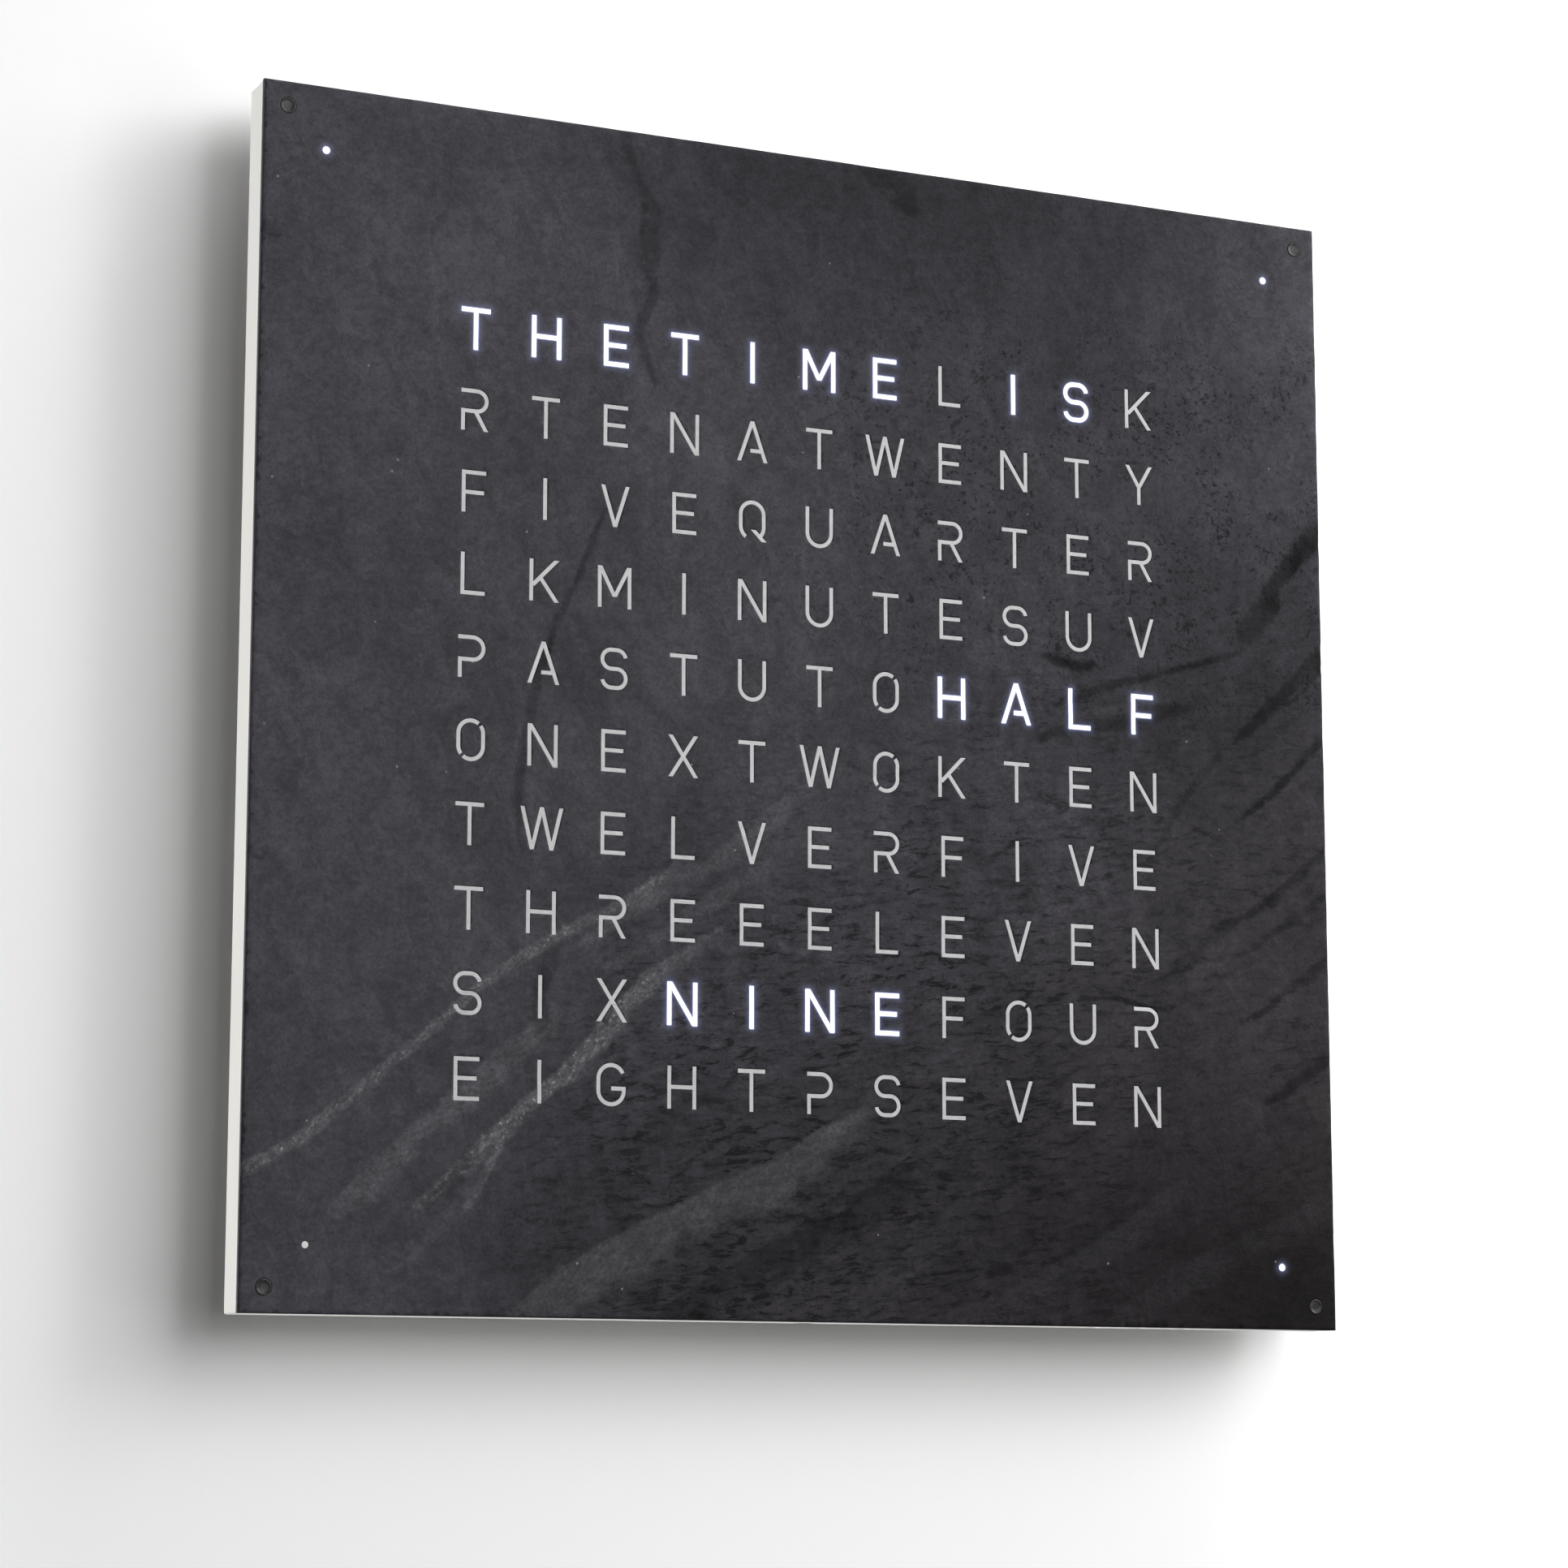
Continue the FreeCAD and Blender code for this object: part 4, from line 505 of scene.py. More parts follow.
GRID_STEP, GRID_JITTER = 1.7, 0.3
OPENING_STEP = 2.5
GLOW_RINGS = (0.3, 0.65, 1.1, 1.7, 2.5)
PLAIN_RINGS = (0.6,)
# How far the rings' and the grid's points keep from the openings, and the grid's from the rim.
RING_ROOM, GRID_ROOM, RIM_ROOM = 0.25, 0.9, 0.5
# Outlines whose middles are nearer than this are one and the same opening.
SAME_PLACE = 1.5
GLOW_REACH = 7.5
# What the sheet's back and cut sides hold, beside 0 for the paths.
SIDE_LEVELS = {"lit_gap": GLOW_REACH, "shade": 0.7}


def scatter_points(holes):
    """Points between the outlines: rings round every hole, and an uneven grid over the rest."""
    lit_middles = [np.mean(loop, axis=0) for loop in lit_loops]
    rings = []
    for loop in holes:
        middle = np.mean(loop, axis=0)
        lit = min(np.hypot(*(middle - other)) for other in lit_middles) < SAME_PLACE
        for distance in GLOW_RINGS if lit else PLAIN_RINGS:
            rings += offset_points(loop, distance)
    rings = np.array(rings)
    rings = rings[loop_distance(rings[:, 0], rings[:, 1], holes) > RING_ROOM]

    draws = np.random.RandomState(SEED)
    count = int(2 * HALF / GRID_STEP)
    axis = (np.arange(count) + 0.5) / count * 2 * HALF - HALF
    x, z = (a.ravel() for a in np.meshgrid(axis, axis))
    x = x + draws.uniform(-GRID_JITTER, GRID_JITTER, x.shape) * GRID_STEP
    z = z + draws.uniform(-GRID_JITTER, GRID_JITTER, z.shape) * GRID_STEP
    off_rim = np.maximum(np.abs(x), np.abs(z)) < HALF - RIM_ROOM
    keep = off_rim & (loop_distance(x, z, holes) > GRID_ROOM)
    free = np.concatenate([rings, np.stack([x[keep], z[keep]], axis=1)])
    return free[~within_loops(free[:, 0], free[:, 1], holes)]


def cut_triangles(points, edges, fixed, owner):
    """Triangles over the points that keep the edges. All outlines but the first stay open."""
    faces, source = delaunay_2d_cdt([Vector(p) for p in points], edges, [], 0, 1e-6)[2:4]
    index = [s[0] if s else -1 for s in source]
    assert min(index) >= 0, "the outlines cross"
    kept = []
    for face in faces:
        a, b, c = (index[v] for v in face)
        if max(a, b, c) < len(owner) and owner[a] == owner[b] == owner[c] != 0:
            mx = (points[a][0] + points[b][0] + points[c][0]) / 3
            mz = (points[a][1] + points[b][1] + points[c][1]) / 3
            if inside_loop(mx, mz, fixed[owner[a]]):
                continue
        kept.append((a, b, c))
    return kept


def make_slate():
    """The split slate sheet: a dense, uneven front with every opening cut through it."""
    fixed = [resample(outer_edge, GRID_STEP)]
    fixed += [resample(loop, OPENING_STEP) for loop in openings]
    corners, edges, owner = [], [], []
    for number, loop in enumerate(fixed):
        first = len(corners)
        corners += loop
        owner += [number] * len(loop)
        edges += [(first + i, first + (i + 1) % len(loop)) for i in range(len(loop))]
    points = corners + [tuple(p) for p in scatter_points(fixed[1:])]
    front_faces = cut_triangles(points, edges, fixed, owner)
    back_faces = cut_triangles(corners, edges, fixed, owner)

    x, z = np.array(points).T.copy()
    depth, levels = relief_at(x, z)
    rim = HALF - np.maximum(np.abs(x), np.abs(z))
    chips = 0.5 + 0.5 * layered_noise(x, z, 7.0, 3, SEED + 61)
    depth = depth + np.where(rim < 1e-3, 0.10 + 0.35 * chips ** 2, 0.0)
    depth = np.clip(depth, 0.0, RIM_FAR)
    vertices = [(px * MM, FRONT + d * MM, pz * MM) for px, d, pz in zip(x, depth, z)]
    back = len(vertices)
    vertices += [(px * MM, SLATE_BACK, pz * MM) for px, pz in corners]
    faces = list(front_faces)
    faces += [(back + c, back + b, back + a) for a, b, c in back_faces]
    faces += [(b, a, back + a, back + b) for a, b in edges]

    piece = new_piece("slate_sheet", vertices, faces, "cover")
    mesh = piece.data
    levels["shade"] = shade_at(x, z)
    levels["lit_gap"] = np.minimum(loop_distance(x, z, lit_loops), GLOW_REACH)
    for name, values in levels.items():
        layer = mesh.attributes.new(name, "FLOAT", "POINT")
        full = np.full(len(mesh.vertices), SIDE_LEVELS.get(name, 0.0), dtype=np.float32)
        full[:back] = values
        layer.data.foreach_set("value", full)
    smooth = np.zeros(len(mesh.polygons), dtype=bool)
    smooth[:len(front_faces)] = True
    mesh.polygons.foreach_set("use_smooth", smooth)
    mesh.update()
    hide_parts("slate_face")
    return piece


# How far the resin stays behind the stone beside it, in millimetres.
FILL_RECESS = 0.02
FILL_STEP = 1.6


def make_fills(name, node):
    """Resin letters or dots in place of a CAD node, which follow the split face."""
    vertices, faces = [], []
    for loop in front_loops(node, FILL_LEVEL):
        points = resample(loop, FILL_STEP)
        x, z = np.array(points).T.copy()
        depth = np.clip(relief_at(x, z)[0], 0.0, RIM_FAR) + FILL_RECESS
        count, first = len(points), len(vertices)
        vertices += [(px * MM, FRONT + d * MM, pz * MM) for px, pz, d in zip(x, z, depth)]
        vertices += [(px * MM, SLATE_BACK, pz * MM) for px, pz in zip(x, z)]
        for a, b, c in tessellate_polygon([[Vector((px, pz, 0.0)) for px, pz in points]]):
            flat = (points[b][0] - points[a][0]) * (points[c][1] - points[a][1])
            flat -= (points[b][1] - points[a][1]) * (points[c][0] - points[a][0])
            if flat < 0:
                b, c = c, b
            faces.append((first + a, first + b, first + c))
            faces.append((first + count + c, first + count + b, first + count + a))
        for i in range(count):
            j = (i + 1) % count
            faces.append((first + j, first + i, first + count + i, first + count + j))
    piece = new_piece(name, vertices, faces, "cover")
    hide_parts(node)
    return piece


slate = make_slate()
lit_letters = make_fills("lit_letters", "lit_letter_fills")
lit_dots = make_fills("lit_minute_dots", "lit_minute_fills")
unlit_letters = make_fills("unlit_letters", "unlit_letter_fills")
unlit_dot = make_fills("unlit_minute_dot", "unlit_minute_fill")


# ---- the corner studs ----

STUD_TURNS = 48
# A shallow dish inside a raised lip: share of the radius, and millimetres behind the stone's front plane.
STUD_DISH = ((0.00, 0.34), (0.30, 0.33), (0.55, 0.30), (0.70, 0.24), (0.76, 0.16), (0.80, 0.09), (0.85, 0.06),
             (0.90, 0.07), (0.95, 0.13), (0.985, 0.26), (1.00, 0.50))
# Share of its opening's radius that a stud fills.
STUD_FIT = 0.995
STUD_CHAMFER = 0.5
# A stud's middle lies nearer than this to the outermost side of all studs.
STUD_BAND = 5.0


def is_stud(loop):
    """Whether an opening in the slate is one that a corner stud stands in."""
    middle = np.abs(np.mean(loop, axis=0))
    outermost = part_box("corner_studs")[1].x
    return middle.min() * MM > outermost - STUD_BAND * MM


def make_studs():
    """Dark turned studs: a dished head with a lip, and a shank with a chamfered end."""
    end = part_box("corner_studs")[1].y
    vertices, faces = [], []
    for hole in filter(is_stud, openings):
        middle = np.mean(hole, axis=0)
        radius = np.hypot(*(np.array(hole) - middle).T).min() * STUD_FIT
        profile = [(share * radius * MM, FRONT + depth * MM) for share, depth in STUD_DISH]
        profile += [(radius * MM, end - STUD_CHAMFER * MM), ((radius - STUD_CHAMFER) * MM, end)]
        profile.append((0.0, end))
        rings = []
        for distance, y in profile:
            first = len(vertices)
            if distance == 0.0:
                vertices.append((middle[0] * MM, y, middle[1] * MM))
                rings.append([first] * STUD_TURNS)
                continue
            for turn in range(STUD_TURNS):
                angle = 2 * np.pi * turn / STUD_TURNS
                x, z = distance * np.cos(angle), distance * np.sin(angle)
                vertices.append((middle[0] * MM + x, y, middle[1] * MM + z))
            rings.append(list(range(first, first + STUD_TURNS)))
        for inner, outer in zip(rings, rings[1:]):
            for turn in range(STUD_TURNS):
                after = (turn + 1) % STUD_TURNS
                face = (inner[turn], outer[turn], outer[after], inner[after])
                faces.append(tuple(dict.fromkeys(face)))
    piece = new_piece("locating_studs", vertices, faces, "cover", smooth=True)
    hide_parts("corner_studs")
    return piece


studs = make_studs()


# ---- finishes ----

# The stone's colour at the upper left and at the lower right: partly its own tone, partly painted shade,
# darker towards the lower right.
STONE = ((0.0598, 0.0578, 0.0672), (0.0372, 0.0328, 0.0350))
# A fold's crest where it is dull, and where it is silky: the silky end is paler, a painted sheen.
CREST = ((0.086, 0.083, 0.090), (0.165, 0.162, 0.175))
LEDGE_SHADE_COLOR = (0.0090, 0.0078, 0.0084)
VEIN_AND_SHADE_COLOR = (0.0075, 0.0070, 0.0076)
CRACK_SHADE_COLOR = (0.0045, 0.0041, 0.0044)
PIT_SHADE_COLOR = (0.0085, 0.0080, 0.0090)
# The glint colour is a painted highlight.
PAINTED_GLINT_COLOR, FLECK_COLOR = (0.50, 0.49, 0.50), (0.26, 0.25, 0.25)
# Painted glow, which the stone itself gives off beside a lit letter: wide and faint, and bright at its very
# edge.
PAINTED_HALO_COLOR, PAINTED_EDGE_GLOW_COLOR = (0.075, 0.085, 0.145), (0.60, 0.63, 0.95)


def slate_finish():
    """Dark split slate: clouded, laminated, pitted, with pale crests along its folds; sheen, glints, glow and
    the shade in its hollows are painted.
    """
    f = Finish("split_slate", roughness=0.6)
    f.set("Specular IOR Level", 0.035)
    shade, gap = f.attribute("shade"), f.attribute("lit_gap")
    jagged = f.math("SUBTRACT", f.noise(2.6, 5.0, 0.70, seed=9.1), 0.5)

    def share_of(kind, wobble, low, high):
        """How much a kind of path shows, with sides that are crisp and uneven."""
        inner = f.math("MULTIPLY_ADD", jagged, wobble, f.attribute(kind + "_middle"))
        return f.times(f.attribute(kind), f.remap(inner, low, high))

    pale = share_of("pale", 0.7, 0.08, 0.36)
    dark = share_of("dark", 1.3, 0.03, 0.66)
    crack = share_of("crack", 0.9, 0.30, 0.66)

    point = f.add("TexCoord", output="Object")
    wander = f.add("TexNoise", {"Vector": point, "Scale": 11.0, "Detail": 2.0}, output="Color")
    drift = f.scaled(wander, 0.07)
    bent = f.add("VectorMath", {0: point, 1: drift}, operation="ADD")
    clouds = f.noise(60.0, 3.0, 0.55, seed=3.1)
    blotches = f.noise(14.0, 5.0, 0.62, vector=f.place((1.0, 1.0, 1.6), 0.3, 1.7), warp=0.8)
    mottle = f.noise(3.2, 4.0, 0.68, vector=f.place((1.5, 1.0, 1.0), 0.35, 4.2), warp=0.6)
    grain = f.noise(1.25, 3.0, 0.75, seed=5.4)
    brushed = f.noise(1.5, 4.0, 0.72, vector=f.place((4.5, 1.0, 1.0), 0.72, 2.3, bent))
    layers = f.noise(2.8, 5.0, 0.68, vector=f.place((3.2, 1.0, 1.0), 0.12, 8.3), warp=0.5)
    steps = f.noise(6.5, 5.0, 0.60, vector=f.place((4.0, 1.0, 1.0), 0.24, 12.0), warp=0.4)

    across = f.add("SeparateXYZ", {"Vector": point}, output="X")
    upward = f.add("SeparateXYZ", {"Vector": point}, output="Z")
    # Partly painted shade: the stone darkens towards the lower right.
    lower_right = f.remap(f.math("SUBTRACT", across, upward), 0.02, 0.46)
    stone = f.mix(*STONE, lower_right)
    # Where the stone shows its layers: low on the face, less towards its far left and right.
    low_down = f.times(f.remap(f.math("MULTIPLY_ADD", across, -0.5, upward), 0.04, -0.12, 0.06, 1.0),
                       f.remap(across, -0.15, -0.05, 0.15, 1.0), f.remap(across, 0.06, 0.17, 1.0, 0.5))
    tone = f.times(f.remap(clouds, 0.3, 0.7, 0.90, 1.12), f.remap(blotches, 0.28, 0.72, 0.84, 1.18),
                   f.remap(mottle, 0.32, 0.68, 0.84, 1.16, smooth=False),
                   f.remap(grain, 0.30, 0.70, 0.80, 1.20, smooth=False))
    plates = f.times(f.remap(layers, 0.34, 0.62, 0.20, -0.20), low_down)
    tone = f.math("MULTIPLY_ADD", tone, plates, tone)
    stone = f.scaled(stone, f.times(tone, shade))

    # Painted shade: short dark edges where one layer of the stone ends on the next, mostly low on the face.
    patches = f.remap(f.noise(26.0, 4.0, 0.6, seed=7.7), 0.38, 0.56, 0.25, 1.0)
    lines = f.math("PINGPONG", f.times(steps, 6.0), 0.5)
    lines = f.times(f.remap(lines, 0.0, 0.07, 1.0, 0.0), f.remap(mottle, 0.42, 0.56, 0.0, 1.0))
    ledges = f.math("MAXIMUM", f.remap(layers, 0.535, 0.62), lines)
    ledges = f.times(ledges, patches, low_down, f.remap(pale, 0.05, 0.40, 1.0, 0.15))
    stone = f.mix(stone, LEDGE_SHADE_COLOR, f.times(ledges, 0.84))

    # Along the brushed streaks the crests are painted paler, as a sheen over the fold's own pale colour.
    silk = f.times(f.remap(brushed, 0.40, 0.72), f.remap(pale, 0.30, 0.75, 0.25, 1.0))
    uneven = f.times(f.remap(grain, 0.30, 0.70, 0.78, 1.22), f.remap(mottle, 0.32, 0.68, 0.82, 1.20))
    crest = f.scaled(f.mix(*CREST, silk), uneven)
    stone = f.mix(stone, crest, f.math("MULTIPLY", pale, f.remap(blotches, 0.25, 0.6, 0.80, 1.0), clamp=True))
    # Painted highlights: pale glints on the silky crests.
    painted_glints = f.times(f.remap(grain, 0.60, 0.72), f.remap(pale, 0.60, 0.95))
    stone = f.mix(stone, PAINTED_GLINT_COLOR, f.times(painted_glints, 0.8))
    dark_share = f.math("MULTIPLY", dark, f.remap(blotches, 0.25, 0.65, 1.30, 0.80), clamp=True)
    # Dark veins in the stone, and the painted shade of the rows along the crack.
    stone = f.mix(stone, VEIN_AND_SHADE_COLOR, dark_share)
    # Painted shade in the cracks.
    stone = f.mix(stone, CRACK_SHADE_COLOR, f.times(crack, 0.9))

    # Small ragged pits, painted dark as the shade in them: crowded on the right above the middle, thin
    # elsewhere.
    right_side = f.times(f.remap(across, -0.06, 0.06, 0.08, 1.0),
                         f.remap(upward, -0.02, 0.06, 0.30, 1.0), f.remap(upward, 0.20, 0.13, 0.30, 1.0))
    pits = 0.0
    for size, low, high, seed in ((1.7, 0.53, 0.68, 6.0), (4.2, 0.55, 0.70, 16.0)):
        pit_noise = f.noise(size, 3.0, 0.62, vector=f.place((1.2, 1.0, 1.0), 0.3, seed))
        pit_room = f.remap(f.noise(22.0, 4.0, 0.65, seed=seed), 0.40, 0.62, 0.12, 1.0)
        here = f.times(f.remap(pit_noise, low, high), pit_room, right_side)
        pits = f.math("MAXIMUM", pits, here)
    stone = f.mix(stone, PIT_SHADE_COLOR, f.times(pits, 0.82))
    flecks = f.remap(f.cells(17.0), 0.018, 0.034, 1.0, 0.0)
    stone = f.mix(stone, FLECK_COLOR, f.times(flecks, 0.8))
    rough = f.math("SUBTRACT", f.remap(brushed, 0.25, 0.75, 0.54, 0.66), f.times(pale, 0.10))

    height = f.times(blotches, 0.60)
    parts = ((mottle, 0.26), (grain, 0.075), (f.times(silk, pale), 0.10), (ledges, -0.22), (pits, -0.20))
    for part, weight in parts:
        height = f.math("MULTIPLY_ADD", part, weight, height)

    # Painted glow: the stone beside the lit letters gives off light itself, in place of the light they spill
    # onto it.
    halo = f.math("POWER", f.remap(gap, 0.0, 4.6, 1.0, 0.0, smooth=False), 3.2)
    rim = f.math("POWER", f.remap(gap, 0.0, 0.62, 1.0, 0.0), 1.6)
    glow = {0: f.scaled(PAINTED_HALO_COLOR, halo), 1: f.scaled(PAINTED_EDGE_GLOW_COLOR, rim)}
    f.set("Emission Color", f.add("VectorMath", glow, operation="ADD"))
    f.set("Emission Strength", 1.0)
    return f.finished(stone, rough, f.bump(height, 1.0, 0.75))


def resin_finish(name, color, emission=None):
    """Resin poured into the letters, faintly cloudy."""
    f = Finish(name, color, 0.42)
    cloudy = f.noise(2.6, 3.0, 0.6, seed=4.0)
    if emission:
        f.set("Emission Color", f.scaled(emission, f.remap(cloudy, 0.2, 0.8, 0.97, 1.03)))
        f.set("Emission Strength", 1.5)
    return f.finished(f.scaled(color, f.remap(cloudy, 0.25, 0.75, 0.90, 1.06)),
                      f.remap(cloudy, 0.2, 0.8, 0.36, 0.50), f.bump(f.noise(0.8, 2.0), 0.02, 0.5))


def lacquer_finish():
    """Satin white lacquer over fibreboard: slight orange peel, a little darker in places."""
    color = (0.790, 0.768, 0.722)
    f = Finish("white_lacquer", color, 0.34, Coat_Weight=0.25, Coat_Roughness=0.22)
    patches = f.noise(60.0, 3.0, 0.5, seed=2.0)
    smears = f.noise(9.0, 4.0, 0.6, vector=f.place((3.3, 1.0, 3.3), seed=6.0))
    tone = f.times(f.remap(patches, 0.3, 0.7, 0.985, 1.012), f.remap(smears, 0.3, 0.7, 0.992, 1.006))
    peel = f.bump(f.noise(1.3, 2.0, 0.5, seed=8.0), 0.012, 0.5)
    return f.finished(f.scaled(color, tone), f.remap(smears, 0.25, 0.75, 0.30, 0.40),
                      f.bump(f.noise(0.25, 2.0), 0.002, 0.4, peel))


def powder_finish():
    color = (0.020, 0.020, 0.022)
    f = Finish("carrier_powder_coat", color, 0.62)
    texture = f.noise(0.7, 3.0, 0.6)
    return f.finished(f.scaled(color, f.remap(texture, 0.2, 0.8, 0.8, 1.3)),
                      f.remap(texture, 0.2, 0.8, 0.55, 0.70), f.bump(texture, 0.03, 0.6))


def plastic_finish(name, color, roughness, grain_size=0.6, depth=0.012, spread=0.08):
    """Moulded plastic with a fine spark-eroded grain."""
    f = Finish(name, color, roughness)
    grain = f.noise(grain_size, 3.0, 0.6)
    patches = f.noise(18.0, 3.0, 0.5, seed=3.0)
    return f.finished(f.scaled(color, f.remap(patches, 0.25, 0.75, 1.0 - spread, 1.0 + spread / 2)),
                      f.remap(grain, 0.25, 0.75, roughness - 0.05, roughness + 0.06),
                      f.bump(grain, depth, 0.6))


def board_finish():
    """Painted hardboard: pressed fibres show faintly through the paint."""
    color = (0.60, 0.59, 0.565)
    f = Finish("rear_hardboard", color, 0.58)
    fibres = f.noise(1.6, 5.0, 0.65, vector=f.place((4.0, 1.0, 1.0), -0.3), warp=1.2)
    crossing = f.noise(1.4, 5.0, 0.65, vector=f.place((1.0, 1.0, 4.0), -0.2, 4.0), warp=1.2)
    mat = f.times(f.math("ADD", fibres, crossing), 0.5)
    patches = f.noise(45.0, 3.0, 0.5, seed=5.0)
    tone = f.times(f.remap(mat, 0.35, 0.65, 0.93, 1.05), f.remap(patches, 0.3, 0.7, 0.97, 1.02))
    return f.finished(f.scaled(color, tone),
                      f.remap(mat, 0.35, 0.65, 0.66, 0.52), f.bump(mat, 0.06, 0.5))


def metal_finish(name, color, roughness, stretch=(12.0, 1.0, 1.0)):
    """Brushed or plated metal: fine scratches one way, soft tarnish in patches."""
    f = Finish(name, color, roughness, Metallic=1.0)
    brushing = f.noise(0.35, 4.0, 0.6, vector=f.place(stretch))
    tarnish = f.noise(6.0, 4.0, 0.6, seed=6.0)
    return f.finished(f.scaled(color, f.remap(tarnish, 0.25, 0.75, 0.86, 1.04)),
                      f.remap(brushing, 0.25, 0.75, roughness - 0.08, roughness + 0.14),
                      f.bump(brushing, 0.006, 0.5))


def stud_finish():
    """Black polished steel, rubbed paler in a few spots."""
    f = Finish("black_stud", (0.012, 0.0115, 0.011), 0.16)
    f.set("Specular IOR Level", 0.22)
    rubbed = f.noise(1.1, 4.0, 0.65, seed=3.0)
    return f.finished(f.mix((0.010, 0.0095, 0.009), (0.050, 0.047, 0.040), f.remap(rubbed, 0.55, 0.72)),
                      f.remap(rubbed, 0.3, 0.7, 0.10, 0.30), f.bump(f.noise(0.5, 2.0), 0.01, 0.5))


def rubber_finish():
    f = Finish("bumper_rubber", (0.022, 0.022, 0.023), 0.72)
    dust = f.noise(2.2, 4.0, 0.65)
    share = f.remap(dust, 0.55, 0.8, 0.0, 0.8)
    return f.finished(f.mix((0.020, 0.020, 0.021), (0.060, 0.058, 0.055), share),
                      f.remap(dust, 0.3, 0.7, 0.62, 0.82), f.bump(f.noise(0.5, 2.0), 0.02, 0.6))


def circuit_finish(name, mask, copper):
    """Solder mask with tracks and round pads under it."""
    f = Finish(name, mask, 0.32)
    squares = f.place()
    tracks = f.cells(3.6, vector=squares, feature="DISTANCE_TO_EDGE", jitter=0.35)
    pads = f.cells(5.0, vector=squares, jitter=0.25)
    lines = f.remap(tracks, 0.05, 0.09, 1.0, 0.0)
    rings = f.remap(pads, 0.10, 0.13, 1.0, 0.0)
    colored = f.mix(mask, copper, f.times(lines, 0.8))
    return f.finished(f.mix(colored, (0.62, 0.60, 0.55), rings),
                      f.remap(f.noise(5.0), 0.3, 0.7, 0.26, 0.40),
                      f.bump(f.math("MAXIMUM", lines, rings), 0.03, 0.7))


def opal_finish():
    """Opal acrylic, faintly cloudy."""
    color = (0.86, 0.86, 0.85)
    f = Finish("opal_acrylic", color, 0.38)
    milky = f.noise(22.0, 3.0, 0.5)
    return f.finished(f.scaled(color, f.remap(milky, 0.3, 0.7, 0.97, 1.02)),
                      f.remap(f.noise(1.2, 3.0), 0.3, 0.7, 0.34, 0.44),
                      f.bump(f.noise(0.8, 2.0), 0.004, 0.4))


def flat_cable_finish():
    f = Finish("flat_cable", (0.70, 0.72, 0.76), 0.38)
    wires = f.add("TexWave", {"Vector": f.place(), "Scale": 0.16}, output="Fac", bands_direction="DIAGONAL")
    return f.finished(f.mix((0.74, 0.75, 0.77), (0.50, 0.52, 0.56), f.remap(wires, 0.4, 0.7)),
                      f.remap(f.noise(3.0), 0.3, 0.7, 0.32, 0.44), f.bump(wires, 0.04, 0.5))


def winding_finish():
    """Enamelled copper wire, turn beside turn round the rod, painted darker between the turns as shade."""
    f = Finish("copper_winding", (0.60, 0.25, 0.10), 0.3, Metallic=0.9)
    turns = f.add("TexWave", {"Vector": f.place(), "Scale": 0.7}, output="Fac", bands_direction="Z")
    return f.finished(f.mix((0.40, 0.14, 0.05), (0.68, 0.30, 0.12), turns),
                      f.remap(f.noise(1.0), 0.3, 0.7, 0.22, 0.38), f.bump(turns, 0.15, 0.8))


def led_finish():
    f = Finish("led_package", (0.85, 0.82, 0.62), 0.35)
    gel = f.noise(0.8, 3.0)
    return f.finished(f.mix((0.86, 0.85, 0.80), (0.86, 0.76, 0.30), f.remap(gel, 0.4, 0.6)),
                      f.remap(gel, 0.3, 0.7, 0.28, 0.42), f.bump(gel, 0.02, 0.5))


slate.data.materials.append(slate_finish())
lit_resin = resin_finish("lit_resin", (0.86, 0.88, 0.92), emission=(0.98, 0.985, 1.0))
for piece in (lit_letters, lit_dots):
    piece.data.materials.append(lit_resin)
unlit_letters.data.materials.append(resin_finish("unlit_resin", (0.545, 0.535, 0.545)))
unlit_dot.data.materials.append(resin_finish("unlit_dot_resin", (0.74, 0.735, 0.73)))

dress(powder_finish(), "cover_carrier")
dress(lacquer_finish(), "body_frame")
dress(board_finish(), "rear_panel")
dress(opal_finish(), "diffuser_sheet")
dress(plastic_finish("clear_acrylic", (0.80, 0.83, 0.86), 0.12, depth=0.003, spread=0.02), "letter_windows",
      "minute_windows")
dress(plastic_finish("baffle_polystyrene", (0.82, 0.82, 0.80), 0.5), "light_baffle", "minute_light_tubes")
dress(plastic_finish("bush_nylon", (0.74, 0.73, 0.68), 0.45), "stud_bushes")
studs.data.materials.append(stud_finish())
dress(metal_finish("nickel_plate", (0.62, 0.60, 0.56), 0.22), "cover_magnets", "dc_jack_pin", "antenna_clips")
dress(metal_finish("zinc_plate", (0.58, 0.59, 0.60), 0.34), "keyhole_plates", "rear_panel_screws")
dress(metal_finish("satin_aluminium", (0.76, 0.76, 0.77), 0.36, stretch=(1.0, 10.0, 1.0)), "keyhole_rivets",
      "button_sleeves")
dress(metal_finish("cell_steel", (0.66, 0.66, 0.65), 0.2, stretch=(1.0, 1.0, 12.0)), "coin_cell")
dress(rubber_finish(), "wall_bumpers")
dress(led_finish(), "letter_leds", "minute_leds")
dress(plastic_finish("connector_nylon", (0.78, 0.77, 0.73), 0.42), "strip_connectors", "switch_plunger_hours",
      "switch_plunger_minutes", "switch_plunger_brightness")
dress(circuit_finish("green_board", (0.022, 0.13, 0.055), (0.05, 0.24, 0.10)), "control_board", "radio_board",
      "bus_board")
dress(circuit_finish("white_board", (0.78, 0.79, 0.78), (0.66, 0.68, 0.66)), "minute_led_boards",
      *(f"led_strip_{i:02d}" for i in range(1, 11)))
dress(flat_cable_finish(), "matrix_flex", "minute_flexes", "radio_flexes")
dress(plastic_finish("black_moulding", (0.022, 0.022, 0.023), 0.42), "inlet_housing", "coin_cell_holder")
dress(plastic_finish("jack_moulding", (0.014, 0.014, 0.015), 0.25), "dc_jack")
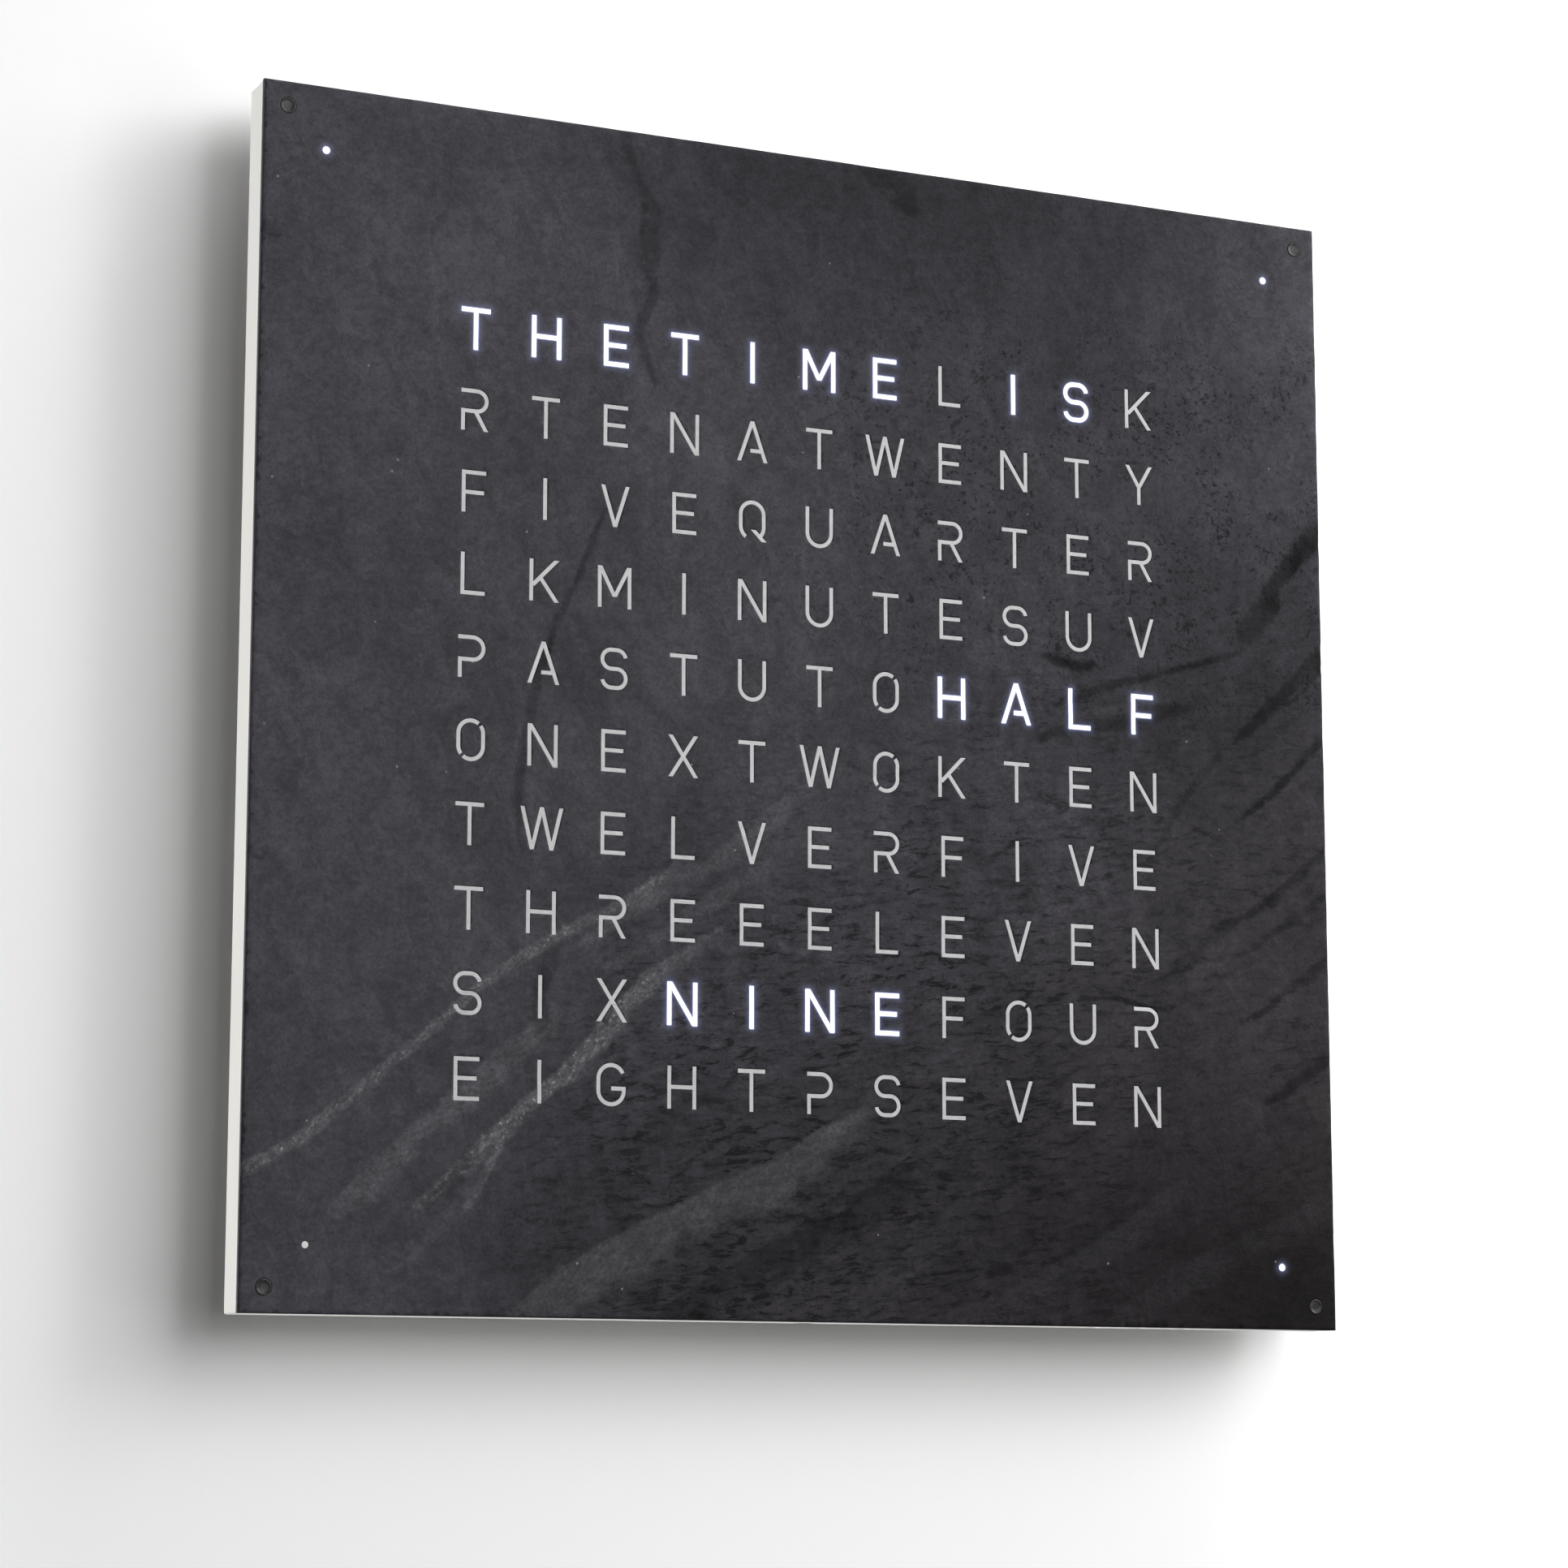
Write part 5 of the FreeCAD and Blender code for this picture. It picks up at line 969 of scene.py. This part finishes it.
dress(plastic_finish("chip_epoxy", (0.018, 0.018, 0.020), 0.5), "controller_chip", "led_driver_chips",
      "radio_chip")
dress(plastic_finish("switch_moulding", (0.06, 0.06, 0.065), 0.4), "tact_switches")
dress(plastic_finish("button_grey", (0.58, 0.58, 0.57), 0.46), "button_hours", "button_minutes",
      "button_brightness")
dress(plastic_finish("ferrite", (0.05, 0.05, 0.055), 0.6, grain_size=0.4, depth=0.03), "ferrite_rod")
dress(winding_finish(), "antenna_coil")


# ---- stage, lights and camera ----

def stage_plane(name, material, corners):
    mesh = bpy.data.meshes.new(name)
    mesh.from_pydata(corners, [], [tuple(range(len(corners)))])
    mesh.materials.append(material)
    plane = bpy.data.objects.new(name, mesh)
    bpy.context.scene.collection.objects.link(plane)
    return plane


def seen_directly(tree):
    """1 for rays from the camera and for those mirrored or passed on by gloss and glass, else 0."""
    ray = tree.nodes.new("ShaderNodeLightPath")
    seen = ray.outputs["Is Camera Ray"]
    for kind in ("Is Glossy Ray", "Is Transmission Ray"):
        larger = tree.nodes.new("ShaderNodeMath")
        larger.operation = "MAXIMUM"
        tree.links.new(seen, larger.inputs[0])
        tree.links.new(ray.outputs[kind], larger.inputs[1])
        seen = larger.outputs[0]
    return seen


WALL_COLOR = (1.22, 1.22, 1.22)
FLOOR_COLOR = (0.90, 0.90, 0.90)
# What the floor throws back onto the clock is far darker than what is seen of it.
FLOOR_UNSEEN = (0.08, 0.08, 0.08)
# The floor's own paleness, so that it stays pale on the lamps' far side too.
FLOOR_GLOW = 0.62


def wall_finish():
    """White wall that keeps shadows, and that can't be seen from behind."""
    f = Finish("backdrop_wall")
    f.tree.nodes.remove(f.shader)
    front = f.add("BsdfDiffuse", {"Color": WALL_COLOR})
    behind = f.add("BsdfTransparent")
    back_seen = f.add("NewGeometry", output="Backfacing")
    both = f.add("MixShader", {0: back_seen, 1: front, 2: behind})
    f.feed(f.tree.nodes["Material Output"].inputs["Surface"], both)
    return f.material


def floor_finish():
    """Pale where it is seen; to other surfaces it throws little light back."""
    f = Finish("pale_floor", FLOOR_COLOR, 0.9)
    seen = seen_directly(f.tree)
    f.set("Base Color", f.mix(FLOOR_UNSEEN, FLOOR_COLOR, seen))
    f.set("Emission Color", (1.0, 1.0, 1.0))
    f.set("Emission Strength", f.times(seen, FLOOR_GLOW))
    return f.material


WALL_Y, FLOOR_Z, REACH = 0.016, -2.0, 8.0
wall = stage_plane("backdrop_wall", wall_finish(), [
    (-REACH, WALL_Y, FLOOR_Z), (REACH, WALL_Y, FLOOR_Z), (REACH, WALL_Y, REACH), (-REACH, WALL_Y, REACH)])
# The wall takes light and shadow, and throws neither back.
wall.visible_shadow = False
wall.visible_diffuse = False
wall.visible_glossy = False
wall.visible_transmission = False
stage_plane("pale_floor", floor_finish(), [
    (-REACH, -REACH, FLOOR_Z), (REACH, -REACH, FLOOR_Z), (REACH, REACH, FLOOR_Z), (-REACH, REACH, FLOOR_Z)])


def soft_lamp(name, place, aim, size, power, bounces):
    """A square softbox. The camera doesn't see it."""
    light = bpy.data.lights.new(name, "AREA")
    light.shape = "SQUARE"
    light.size = size
    light.energy = power
    light.cycles.max_bounces = bounces
    lamp = bpy.data.objects.new(name, light)
    bpy.context.scene.collection.objects.link(lamp)
    lamp.location = place
    lamp.rotation_euler = (Vector(aim) - Vector(place)).to_track_quat("-Z", "Y").to_euler()
    lamp.visible_camera = False


MIDDLE = (0.0, 0.0, 0.0)
# Name, place, the point that it faces, side in metres, watts, and how often its light may bounce.
LAMPS = (
    ("front_softbox", (1.560, -2.227, 1.268), MIDDLE, 2.6, 59.1, 8),
    ("right_softbox", (2.464, -1.149, 1.268), MIDDLE, 1.6, 43.6, 8),
    ("middle_softbox", (0.259, -2.959, 0.418), MIDDLE, 1.6, 12.1, 8),
    ("raking_lamp", (1.441, -0.672, 2.544), MIDDLE, 0.9, 20.6, 8),
    ("low_lamp", (2.248, -1.886, -0.624), MIDDLE, 0.9, 5.9, 8),
    # These three stand behind the wall, and light only the case's sides and back.
    ("side_fill_left", (-2.0, 1.10, -0.2), (-0.2, 0.0, 0.0), 1.2, 43.0, 0),
    ("under_fill", (0.2, 0.9, -1.9), MIDDLE, 0.8, 10.0, 0),
    ("rear_fill", (0.9, 2.2, 1.0), MIDDLE, 1.6, 52.0, 0),
)
for lamp in LAMPS:
    soft_lamp(*lamp)

# The world's strength as light. Where it is seen, its strength is 1, which is white.
SKY_LIGHT = 0.072
world = bpy.data.worlds.new("studio")
bpy.context.scene.world = world
world.use_nodes = True
sky = world.node_tree
background = sky.nodes["Background"]
background.inputs["Color"].default_value = (1.0, 1.0, 1.0, 1.0)
strength = sky.nodes.new("ShaderNodeMapRange")
strength.inputs["To Min"].default_value = SKY_LIGHT
strength.inputs["To Max"].default_value = 1.0
sky.links.new(seen_directly(sky), strength.inputs["Value"])
sky.links.new(strength.outputs[0], background.inputs["Strength"])

bpy.context.scene.view_settings.view_transform = "Standard"

# The camera's place and axes, fitted to the face's corners in the photograph; the lens in millimetres.
CAMERA_PLACE = Vector((-0.65275, -1.4013, -0.2768))
CAMERA_RIGHT = Vector((0.90803, -0.41891, 0.00022))
CAMERA_UP = Vector((-0.06903, -0.14912, 0.98641))
CAMERA_AHEAD = Vector((0.41318, 0.89570, 0.16432))
FOCAL_LENGTH, SENSOR_WIDTH = 93.65, 36.0

lens = bpy.data.cameras.new("camera")
lens.lens, lens.sensor_width = FOCAL_LENGTH, SENSOR_WIDTH
camera = bpy.data.objects.new("camera", lens)
bpy.context.scene.collection.objects.link(camera)
turn = Matrix((CAMERA_RIGHT, CAMERA_UP, -CAMERA_AHEAD)).transposed().to_4x4()
camera.matrix_world = Matrix.Translation(CAMERA_PLACE) @ turn
bpy.context.scene.camera = camera
